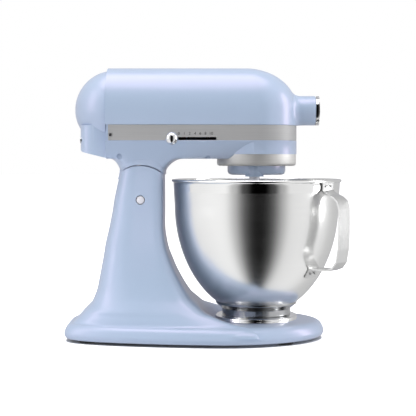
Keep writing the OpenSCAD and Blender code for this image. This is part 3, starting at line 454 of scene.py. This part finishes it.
# The pedestal: height above the pad, front, horn, half width, middle, rear, taper.
PEDESTAL = [
    (-12, -58, 74, 98.2, -30, -249.4, 0.34), (-8, -58.6, 72, 96.8, -31, -248, 0.34),
    (-4, -59.5, 68, 93, -33, -244.2, 0.34), (0, -61, 62, 87.6, -38, -239, 0.33),
    (2, -64, 52, 84.9, -46, -236.6, 0.31), (6, -67, 36, 81, -64, -232.6, 0.27),
    (12, -70, 20, 76, -84, -227.5, 0.22), (16, -73, 10, 73, -99, -223.5, 0.17),
    (24, -77, 2, 67.5, -111, -216, 0.12), (32, -85, 0, 62.5, -121, -212, 0.08),
    (42, -92, 0, 58.5, -129, -208.5, 0.05), (54, -99, 0, 55, -135, -206, 0.02),
    (67, -105.6, 0, 52, -139, -203.5, 0), (80, -111, 0, 50, -143, -201, 0), (90, -115, 0, 48.6, -143, -199.3, 0),
    (101, -117.8, 0, 47.5, -144, -197.5, 0), (120, -120.5, 0, 46.5, -146, -193, 0),
    (142, -120.5, 0, 45.6, -148, -188.5, 0), (158, -120.5, 0, 45, -149, -186, 0),
    (176, -120.5, 0, 44.6, -149, -182.2, 0), (204, -120.5, 0, 44.2, -149, -177, 0),
]
COLUMN_FOOT, COLUMN_RISE, COLUMN_ROWS = -12.0, 216.0, 90
PIN_HOLE_R = 5.9

# The swept room behind the hinge for the tongue's rear tab, about the pin.
NOTCH = [(-60, 19), (-32.8, 19), (-26, 27), (-26, FAR), (-60, FAR)]


def pedestal_ring(height):
    """Plan of the pedestal at a height above the pad."""
    h, front, horn, half, middle, rear, taper = between(PEDESTAL, height)
    rear_power = 3.2 + 2.8 * min(1, max(0, 1 - h / 60)) ** 3
    return oval(
        PAD_Z + h, AXIS_X + middle, front - middle, middle - rear, half, (5.5, rear_power),
        taper=taper, horn=max(horn, 0),
    )


def arc(radius, low):
    """Points of the arc over the hinge pin, down to a height on both sides."""
    end = math.acos((low - PIN_Z) / radius)
    turns = [end * (k / 24 - 1) for k in range(49)]
    return [(PIN_X + radius * math.sin(a), PIN_Z + radius * math.cos(a)) for a in turns]


def pedestal_casting():
    """The column, cut under the head's arc and open for the head's tongue, its rear tab and the lock's ear."""
    column = skin([
        pedestal_ring(COLUMN_FOOT + COLUMN_RISE * (k / COLUMN_ROWS) ** 1.6) for k in range(COLUMN_ROWS + 1)
    ])
    rear_z, front_z = SKIRT_Z - 7, SKIRT_Z - 0.6
    for radius, low, high in (
        (ARC_R, -FAR, FAR), (ARC_R - SEAM_DEPTH, -FAR, -SEAM_FROM), (ARC_R - SEAM_DEPTH, SEAM_FROM, FAR),
    ):
        crown = arc(radius, rear_z)
        front = next(k for k, (x, z) in enumerate(crown) if x > PIN_X and z < front_z)
        above = [(-300, rear_z)] + crown[:front] + [(300, front_z), (300, FAR), (-300, FAR)]
        column = shaped(column, slab(above, low, high))
    hollow = skin([base_ring(z, inset) for z, inset in BASE_HOLLOW] + [base_ring(0, 7)])
    for cutter in (
        hollow,
        block(PIN_X - 28, PIN_X + 26, -SLOT_HALF, SLOT_HALF, PAD_Z + 95, FAR),
        slab([(PIN_X + x, PIN_Z + z) for x, z in NOTCH], -SLOT_HALF, SLOT_HALF),
        block(PIN_X - 26, PIN_X + 26, 0, SLOT_HALF + 8, PIN_Z + 14, FAR),
        rod(PIN_HOLE_R, (PIN_X, -FAR, PIN_Z), (PIN_X, FAR, PIN_Z)),
        block(PIN_X + 9.5, PIN_X + 26.5, SLOT_HALF, 90, PIN_Z + 26, PIN_Z + 32),
    ):
        column = shaped(column, cutter)
    return piece("pedestal_casting", column, "stand", ENAMEL, ["pedestal"])


base_casting()
pedestal_casting()

# ---------------------------------------------------------------- head


# How high the lower casting's flank sweeps up, and over what width.
FLANK_RISE, FLANK_DEPTH = 22.5, 18.0
# The upper casting's section, and how its nose falls back above a height.
VAULT_POWER = 2.3
NOSE_FALL_Z, NOSE_FALL_H, NOSE_FALL_X = 300.0, 53.0, 67.6
# The rear cover's dome: length, half width, heights above and below its middle, and section.
DOME_LONG, DOME_HALF, DOME_UP, DOME_DOWN, DOME_POWER = 51.7, 57.5, 52.0, 48.0, 2.15
COVER_HOLE_R, COVER_HOLLOW_R = 43.0, 40.0


def side_fall(x, y):
    """How far the lower casting's flank stands above its underside at a point of its plan."""
    if x > AXIS_X:
        depth = NOSE_R - math.hypot(x - AXIS_X, y)
    else:
        depth = NOSE_R * (1 + WIDENING * (AXIS_X - x) / (AXIS_X - HOUSING_X)) - abs(y)
    return FLANK_RISE * (1 - min(max(depth, 0), FLANK_DEPTH) / FLANK_DEPTH) ** 1.35


def lever_slot():
    """A cutter for the speed lever's slot in the near side."""
    return block(SLOT_FROM, SLOT_TO, -80, -30, LEVER_Z - SLOT_ROOM, LEVER_Z + SLOT_ROOM)


def lower_casting():
    """The gearcase: its flanks, the neck that meets the pedestal, and the tongue on the hinge pin."""
    neck_x, half = -80.0, 44.3
    plan = head_ring(0)
    paths = []
    for p in plan:
        dx, dy = p.x - neck_x, p.y
        reach, power, spread = (29.8, 5.5, 23) if dx >= 0 else (29, 3.2, 14)
        along, across = (abs(dx) / reach) ** power, (abs(dy) / half) ** power
        k = (along + across) ** (-1 / power)
        share = along / (along + across)
        paths.append((p, Vector((neck_x + dx * k, dy * k, 0)), 5 + 11.7 * share, 10 + (spread - 10) * share))

    def level(path, f):
        start, end, drop, spread = path
        point = start.lerp(end, f)
        q = max(0, 1 - (point - end).length / spread)
        fall = drop * (0.6 * q * q + 0.4 * (1 - math.sqrt(1 - q * q)))
        return Vector((point.x, point.y, UNDER_Z + side_fall(point.x, point.y) - fall))

    rings = [head_ring(246, 12), head_ring(253, HEAD_LEDGE)]
    rings += [head_ring(SPLIT_Z, HEAD_LEDGE), head_ring(SPLIT_Z, RECESS)]
    for drop, inset in ((0, RECESS), (0, 1.1), (0.12, 0.4), (0.4, 0.1)):
        rings.append(head_ring(BAND_Z - drop, inset))
    edge = [level(path, 0) for path in paths]
    rings += [[p.lerp(Vector((p.x, p.y, BAND_Z)), 0.33) for p in edge]]
    rings += [[level(path, (1 - math.cos(math.pi * k / 44)) / 2) for path in paths] for k in range(45)]
    rings += [[Vector((path[1].x, path[1].y, z)) for path in paths] for z in (216, 210)]
    core = rod(NOSE_R - 0.08, (AXIS_X, 0, COLLAR_TOP - 0.8), (AXIS_X, 0, BAND_Z - 0.05), 192)
    body = shaped(skin(rings), core, "UNION")
    body = shaped(body, rod(COLLAR_R + 0.02, (AXIS_X, 0, 150), (AXIS_X, 0, COLLAR_TOP), 192))
    body = shaped(body, rod(ARC_R + ARC_GAP, (PIN_X, -200, PIN_Z), (PIN_X, 200, PIN_Z), 192))
    body = shaped(body, lever_slot())
    for x, y in CASE_SCREWS:
        body = shaped(body, rod(CASE_RECESS_R, (x, y, 200), (x, y, UNDER_Z + 9), 48))
    top = UNDER_Z + 4
    x, z = PIN_X, PIN_Z
    side = [(x + 4, z), (x + 13.9, z), (x + 22, z + 16), (x + 22, top), (x + 4, top)]
    tongue = slab(side, -TONGUE_HALF, TONGUE_HALF)
    side = [(x - 25, top), (x - 28.2, z + 34.5), (x - 30.2, z + 26.4), (x - 27.5, z + 26.4)]
    tab = slab(side + [(x - 22, z + 34), (x - 16, top)], -TONGUE_HALF, TONGUE_HALF)
    barrel = rod(14, (x, -TONGUE_HALF, z), (x, TONGUE_HALF, z))
    ear = block(x + 3, x + 11, 0, TONGUE_HALF + 5.5, z + 22, z + 36)
    ear = shaped(ear, rod(3.3, (x + 2, SLOT_HALF + 3.9, z + 29), (x + 12, SLOT_HALF + 3.9, z + 29), 48))
    body = joined(body, tongue, tab, barrel, ear)
    return piece("lower_casting", body, "head", ENAMEL, ["gearcase"])


def vault_ring(turn, inset=0.0):
    """One ring of the upper casting, from its widest level at 0 to its crown at a quarter turn."""
    rise = math.sin(turn) ** (2 / VAULT_POWER)
    z = WIDE_Z + (CROWN_Z - WIDE_Z) * rise
    t = max(0, z - NOSE_FALL_Z) / NOSE_FALL_H
    front = NOSE_X - NOSE_FALL_X * (1 - math.sqrt(max(0, 1 - t * t)))
    half = NOSE_R * max(0, math.cos(turn)) ** (2 / VAULT_POWER)
    return head_ring(z - inset * rise, min(inset, half - 0.02), front, half)


def hub_root(body):
    """A filleted barrel that grows out of the nose."""
    tree = BVHTree.FromBMesh(body)

    def nose_at(angle, radius):
        y, z = radius * math.cos(angle), HUB_Z + radius * math.sin(angle)
        hit = tree.ray_cast(Vector((200, y, z)), Vector((-1, 0, 0)))[0]
        return Vector((hit.x, y, z))

    def barrel_at(angle, x, radius=HUB_R):
        return Vector((x, radius * math.cos(angle), HUB_Z + radius * math.sin(angle)))

    angles = [math.tau * k / 96 for k in range(96)]
    feet = [nose_at(a, HUB_R + 8) for a in angles]
    roots = [nose_at(a, HUB_R) for a in angles]
    ends = [barrel_at(a, root.x + 9) for a, root in zip(angles, roots)]
    rings = [[Vector((60, foot.y * 0.5, HUB_Z + (foot.z - HUB_Z) * 0.5)) for foot in feet]]
    rings += [[foot - Vector((3, 0, 0)) for foot in feet]]
    for k in range(13):
        t = k / 12
        rings.append([a.lerp(b, t).lerp(b.lerp(c, t), t) for a, b, c in zip(feet, roots, ends)])
    for back, inset in ((0.8, 0), (0.3, 0.15), (0, 0.6)):
        rings.append([barrel_at(a, HUB_X - back, HUB_R - inset) for a in angles])
    return shaped(skin(rings), block(0, 300, -80, 80, 200, BAND_TOP + 0.3))


def upper_casting():
    """The motor housing with the attachment barrel, open at the rear."""
    quarter = [math.pi / 2 * k / 44 for k in range(45)]
    inner = [vault_ring(turn, HEAD_WALL) for turn in reversed(quarter[:43:3])]
    skirt = [head_ring(SPLIT_Z, HEAD_LEDGE), head_ring(SPLIT_Z, RECESS)]
    skirt += [head_ring(BAND_TOP, RECESS), head_ring(BAND_TOP, 0.5), head_ring(BAND_TOP + 0.5)]
    body = skin(inner + skirt + [vault_ring(turn) for turn in quarter])
    body = shaped(body, hub_root(body), "UNION")
    body = shaped(body, rod(BORE_R, (HUB_X - 30, 0, HUB_Z), (HUB_X + 30, 0, HUB_Z)))
    body = shaped(body, rod(COVER_HOLE_R, (HOUSING_X - 20, 0, HUB_Z), (HOUSING_X + 20, 0, HUB_Z)))
    boss = rod(7, (HUB_X - 13, 17, HUB_Z), (HUB_X - 13, 24.2, HUB_Z), 64)
    return piece("upper_casting", joined(body, boss), "head", ENAMEL, ["upper_housing"])


def dome_ring(turn, inset=0.0):
    """One ring of the rear cover, from its wide end at 0 to its tip at a quarter turn."""
    x = HOUSING_X + 8 - DOME_LONG * math.sin(turn)
    reach = math.cos(turn)
    ring = []
    for k in range(176):
        a = math.tau * k / 176
        u = math.copysign(abs(math.cos(a)) ** (2 / DOME_POWER), math.cos(a))
        v = math.copysign(abs(math.sin(a)) ** (2 / DOME_POWER), math.sin(a))
        tall = (DOME_UP if v > 0 else DOME_DOWN) * reach - inset
        ring.append(Vector((x, (DOME_HALF * reach - inset) * u, HUB_Z + tall * v)))
    return ring


def rear_cover():
    """The domed cover with the cord housing under it."""
    turns = [math.radians(9.2 + (90 - 9.2) * k / 40) for k in range(41)]
    dome = skin([dome_ring(t, HEAD_WALL) for t in reversed(turns[:36:3])] + [dome_ring(t) for t in turns])
    bustle = skin([oval(z, HOUSING_X, 1.5, 35.2, 46, (8, 4)) for z in (UNDER_Z, UNDER_Z + 44)])
    keep = [
        (HOUSING_X + 3, UNDER_Z + 0.2), (TAIL_X + 4.4, UNDER_Z + 8.6), (TAIL_X + 1.2, UNDER_Z + 10.6),
        (TAIL_X, UNDER_Z + 14), (TAIL_X, UNDER_Z + 43), (HOUSING_X + 3, UNDER_Z + 43),
    ]
    bustle = shaped(bustle, slab(keep, -100, 100), "INTERSECT")
    cover = shaped(dome, bustle, "UNION")
    cover = shaped(cover, rod(COVER_HOLLOW_R, (HOUSING_X - 14, 0, HUB_Z), (HOUSING_X + 20, 0, HUB_Z)))
    cover = shaped(cover, rod(GLAND_R, (TAIL_X - 20, 0, GLAND_Z), (TAIL_X + 40, 0, GLAND_Z), 64))
    return piece("rear_cover_casting", cover, "head", ENAMEL, ["rear_cover"], angle=38)


# The band's section: depth below the head's face and height above the band's lower edge.
BAND_SECTION = [
    (1.45, 0.1), (0.5, 0.1), (0.25, 0.35), (0.25, 5), (0.25, 15), (0.25, 19.5), (0.5, 19.75), (1.45, 19.75),
]


def trim_strip():
    """The band round the head, open for the speed lever's slot."""
    path = head_ring(0)
    start = next(i for i in range(len(path)) if 64 < i and path[i].x < HOUSING_X + 5)
    near = [p for p in path[-(start - 64):] if p.x > HOUSING_X + 3]
    run = near + path[: start]
    sections = []
    for i, p in enumerate(run):
        ahead, behind = run[min(i + 1, len(run) - 1)], run[max(i - 1, 0)]
        out = (ahead - behind).cross(Vector((0, 0, 1))).normalized()
        sections.append([p - out * depth + Vector((0, 0, BAND_Z + z)) for depth, z in BAND_SECTION])
    strip = shaped(skin(sections), lever_slot())
    return piece("trim_strip", strip, "head", BAND_STEEL, ["trim_band"])


def band_face(x, stand_off=0.0):
    """Where the band's near face lies across Y at a place along the head."""
    return -(NOSE_R * (1 + WIDENING * (AXIS_X - x) / (AXIS_X - HOUSING_X)) - 0.25 + stand_off)


SPEED_MARKS = (("0", -31.4), ("1", -24.6), ("2", -17.8), ("4", -10.9), ("6", -4.4), ("8", 2.2), ("10", 9.3))
MARK_Z, MARK_SIZE = 265.4, 5.0


def scale_numbers():
    """The speed scale's printed digits, standing just off the band."""
    lean = math.atan(NOSE_R * WIDENING / (AXIS_X - HOUSING_X))
    marks = bmesh.new()
    for label, x in SPEED_MARKS:
        curve = bpy.data.curves.new("number", "FONT")
        curve.body = label
        curve.align_x = "CENTER"
        curve.size = MARK_SIZE
        curve.extrude = 0.05
        text = bpy.data.objects.new("number", curve)
        bpy.context.scene.collection.objects.link(text)
        bpy.context.view_layer.update()
        mesh = bpy.data.meshes.new_from_object(text.evaluated_get(bpy.context.evaluated_depsgraph_get()))
        place = Matrix.Translation((x, band_face(x, 0.1), MARK_Z))
        mesh.transform(place @ Matrix.Rotation(lean, 4, "Z") @ Matrix.Rotation(math.pi / 2, 4, "X"))
        marks.from_mesh(mesh)
        bpy.data.objects.remove(text)
        bpy.data.curves.remove(curve)
        bpy.data.meshes.remove(mesh)
    return piece("speed_numbers", marks, "head", INK)


lower_casting()
upper_casting()
rear_cover()
trim_strip()
scale_numbers()

# ---------------------------------------------------------------- bowl

SHOULDER_Z, BOWL_R, ROUND_H = 174.0, 107.4, 145.0
NECK_H, NECK_FLARE = 32, 2
RIM_RISE, RIM_R = 34.5, 2


def bowl_shell():
    """The bowl: a deep round body, a short neck and a rolled rim."""
    rim_z = SHOULDER_Z + RIM_RISE
    turns = [math.pi / 2 * k / 60 for k in range(61)]
    outer = [(BOWL_R * math.sin(a), SHOULDER_Z - ROUND_H * math.cos(a)) for a in turns]
    outer += [(BOWL_R + NECK_FLARE * t, SHOULDER_Z + NECK_H * t) for t in (0.1, 0.3, 0.5, 0.7, 0.85, 0.95)]
    bead_x, bead_z = BOWL_R + NECK_FLARE, rim_z - RIM_R
    curl = [math.pi * (k / 12 - 0.5) for k in range(19)]
    rim = [(bead_x + RIM_R * math.cos(a), bead_z + RIM_R * math.sin(a)) for a in curl]
    inner_r, inner_h = BOWL_R - BOWL_WALL, ROUND_H - BOWL_WALL
    inner = [(inner_r + NECK_FLARE * t, SHOULDER_Z + NECK_H * t) for t in (0.9, 0.7, 0.5, 0.3, 0.1)]
    inner += [(inner_r * math.sin(a), SHOULDER_Z - inner_h * math.cos(a)) for a in reversed(turns)]
    shell = spun(outer + rim + inner, steps=192)
    return piece("bowl_shell", shell, "mixing_bowl", BOWL_STEEL, ["bowl"], angle=50)


bowl_shell()


def dressed(node, body, material, width=0.0, angle=30):
    """A welded, smoothly shaded copy of a CAD node with rounded edges."""
    bm = bmesh.new()
    bm.from_mesh(frame["nodes"][node].data)
    bmesh.ops.scale(bm, vec=(1000,) * 3, verts=bm.verts)
    bmesh.ops.remove_doubles(bm, verts=bm.verts, dist=0.002)
    obj = piece(node + "_dressed", bm, body, material, [node], angle=angle)
    if width:
        edged(obj, width)
    return obj


BODY_OF = {node: body for body, nodes in frame["record"]["behaviour"]["bodies"].items() for node in nodes}
SLOT_OF = {part["node"]: part["material_slot"] for part in frame["record"]["subparts"]}
FINISHES = {
    "blue_enamel": ENAMEL, "rubber_feet": RUBBER, "bright_screws": SCREW_STEEL, "clamp_chrome": CHROME,
    "pin_steel": PIN_STEEL, "band_satin": BAND_STEEL, "collar_satin": COLLAR_STEEL, "black_plastic": BLACK,
    "gear_steel": GEAR_STEEL, "bronze": BRONZE, "lamination": LAMINATION, "copper": COPPER,
    "frame_alloy": ALLOY, "carbon": CARBON, "board_green": BOARD, "knob_chrome": CHROME,
    "bowl_steel": BOWL_STEEL, "foot_steel": FOOT_STEEL, "handle_steel": HANDLE_STEEL,
}

# How much each visible casting, pressing or turned part is rounded at its edges, in millimetres.
ROUNDED = {
    "feet": 0.6, "clamp_plate": 0.3, "hinge_pin": 0.6, "collar_ring": 0.4, "planetary": 1.2,
    "agitator_shaft": 0.4, "agitator_pin": 0.3, "hub_cover": 0.5, "hub_screw": 0.5, "speed_knob": 0.0,
    "bowl_foot": 0.3, "handle": 0.45, "handle_rivets": 0.0, "rear_cover_screw": 0.3, "cord_gland": 0.4,
    "band_screws": 0.2, "lock_lever": 0.6, "lock_bolt": 0.3, "housing_screws": 0.3, "pedestal_screws": 0.3,
    "clamp_screws": 0.3, "hub_drive": 0.3, "hub_cover_pin": 0.0, "speed_lever": 0.2,
}
for node, width in ROUNDED.items():
    dressed(node, BODY_OF[node], FINISHES[SLOT_OF[node]], width)
for node, obj in frame["nodes"].items():
    if not obj.material_slots:
        obj.data.materials.append(None)
    for holder in obj.material_slots:
        holder.material = FINISHES[SLOT_OF[node]]

# ---------------------------------------------------------------- studio

bpy.context.scene.view_settings.view_transform = "Standard"


def ground_finish(name, lit):
    """A pale floor that keeps shadows, shows polished parts the sky and glows for the camera alone."""
    material = bpy.data.materials.new(name)
    material.use_nodes = True
    nodes, links = material.node_tree.nodes, material.node_tree.links
    bsdf = nodes["Principled BSDF"]
    bsdf.inputs["Base Color"].default_value = (0.82, 0.82, 0.83, 1)
    bsdf.inputs["Roughness"].default_value = 0.9
    bsdf.inputs["Specular IOR Level"].default_value = 0.1
    glow = nodes.new("ShaderNodeEmission")
    rays = nodes.new("ShaderNodeLightPath")
    strength = nodes.new("ShaderNodeMath")
    strength.operation = "MULTIPLY"
    strength.inputs[1].default_value = lit
    links.new(rays.outputs["Is Camera Ray"], strength.inputs[0])
    links.new(strength.outputs["Value"], glow.inputs["Strength"])
    both = nodes.new("ShaderNodeAddShader")
    links.new(bsdf.outputs["BSDF"], both.inputs[0])
    links.new(glow.outputs["Emission"], both.inputs[1])
    open_to_sky = nodes.new("ShaderNodeMixShader")
    links.new(rays.outputs["Is Glossy Ray"], open_to_sky.inputs["Fac"])
    links.new(both.outputs["Shader"], open_to_sky.inputs[1])
    links.new(nodes.new("ShaderNodeBsdfTransparent").outputs["BSDF"], open_to_sky.inputs[2])
    links.new(open_to_sky.outputs["Shader"], nodes["Material Output"].inputs["Surface"])
    return material


def floor():
    """A wide floor with an unlit patch under the base."""
    near = [p / 1000 for p in base_ring(0, 2)]
    bm = bmesh.new()
    inner = [bm.verts.new(p) for p in near]
    outer = [bm.verts.new(p.normalized() * 14) for p in near]
    for k in range(len(near)):
        bm.faces.new((inner[k - 1], outer[k - 1], outer[k], inner[k]))
    bm.faces.new(inner).material_index = 1
    mesh = bpy.data.meshes.new("studio_floor")
    bm.to_mesh(mesh)
    bm.free()
    mesh.materials.append(ground_finish("studio_floor", 0.8))
    mesh.materials.append(ground_finish("shaded_floor", 0.0))
    ground = bpy.data.objects.new("studio_floor", mesh)
    bpy.context.scene.collection.objects.link(ground)


def studio_sky():
    """A white room with one dark bay behind the camera, which polished steel shows as a dark bar."""
    world = bpy.data.worlds.new("studio")
    bpy.context.scene.world = world
    world.use_nodes = True
    nodes, links = world.node_tree.nodes, world.node_tree.links
    back = nodes["Background"]
    place = nodes.new("ShaderNodeTexCoord")
    split = nodes.new("ShaderNodeSeparateXYZ")
    links.new(place.outputs["Generated"], split.inputs["Vector"])
    bay = nodes.new("ShaderNodeMath")
    bay.operation = "ARCTAN2"
    links.new(split.outputs["X"], bay.inputs[0])
    flip = nodes.new("ShaderNodeMath")
    flip.operation = "MULTIPLY"
    flip.inputs[1].default_value = -1
    links.new(split.outputs["Y"], flip.inputs[0])
    links.new(flip.outputs["Value"], bay.inputs[1])
    turn = nodes.new("ShaderNodeMapRange")
    turn.inputs["From Min"].default_value = -math.pi
    turn.inputs["From Max"].default_value = math.pi
    links.new(bay.outputs["Value"], turn.inputs["Value"])
    ramp = nodes.new("ShaderNodeValToRGB")
    ramp.color_ramp.interpolation = "EASE"
    stops = ramp.color_ramp.elements
    stops[0].position, stops[0].color = 0.0, (0.5, 0.5, 0.52, 1)
    stops[1].position, stops[1].color = 1.0, (0.5, 0.5, 0.52, 1)
    for degrees, value in (
        (-130, 0.6), (-95, 0.9), (-46, 1.0), (-33, 0.55), (-19, 0.07), (-7, 0.0),
        (10, 0.0), (22, 0.07), (34, 0.45), (46, 0.85), (95, 0.9), (135, 0.6),
    ):
        stop = stops.new((degrees + 180) / 360)
        stop.color = (value, value, value, 1)
    links.new(turn.outputs["Result"], ramp.inputs["Fac"])
    rays = nodes.new("ShaderNodeLightPath")
    glossy = nodes.new("ShaderNodeMix")
    glossy.data_type = "RGBA"
    glossy.inputs[6].default_value = (0.52, 0.52, 0.53, 1)
    links.new(rays.outputs["Is Glossy Ray"], glossy.inputs["Factor"])
    links.new(ramp.outputs["Color"], glossy.inputs[7])
    seen = nodes.new("ShaderNodeMix")
    seen.data_type = "RGBA"
    seen.inputs[7].default_value = (1, 1, 1, 1)
    links.new(rays.outputs["Is Camera Ray"], seen.inputs["Factor"])
    links.new(glossy.outputs[2], seen.inputs[6])
    links.new(seen.outputs[2], back.inputs["Color"])


def softbox(name, place, target, width, height, power, spread=180):
    """A rectangular lamp that faces a target."""
    light = bpy.data.lights.new(name, "AREA")
    light.shape = "RECTANGLE"
    light.size, light.size_y = width, height
    light.energy = power
    light.spread = math.radians(spread)
    lamp = bpy.data.objects.new(name, light)
    lamp.location = place
    lamp.rotation_euler = (Vector(target) - Vector(place)).to_track_quat("-Z", "Y").to_euler()
    bpy.context.scene.collection.objects.link(lamp)
    return lamp


floor()
studio_sky()
softbox("overhead", (-0.1, -0.2, 1.7), (0, 0, 0.3), 1.6, 1.2, 17)
softbox("left", (-1.6, -0.5, 0.9), (0, 0, 0.2), 0.7, 1.4, 6)
softbox("right", (1.6, 0.0, 0.6), (0, 0, 0.26), 0.5, 1.3, 9)
softbox("low_front", (-0.1, -1.3, 0.12), (-0.02, 0, 0.1), 0.7, 0.2, 0.2, spread=36).visible_glossy = False

EYE, EYE_DROP, LENS = (0.0054, -1.470, 0.2359), 2.56, 96.7
eye = bpy.data.objects.new("camera", bpy.data.cameras.new("camera"))
eye.location = EYE
eye.rotation_euler = (math.radians(90 - EYE_DROP), 0, 0)
eye.data.lens = LENS
eye.data.sensor_width = 36
eye.data.clip_end = 60
bpy.context.scene.collection.objects.link(eye)
bpy.context.scene.camera = eye
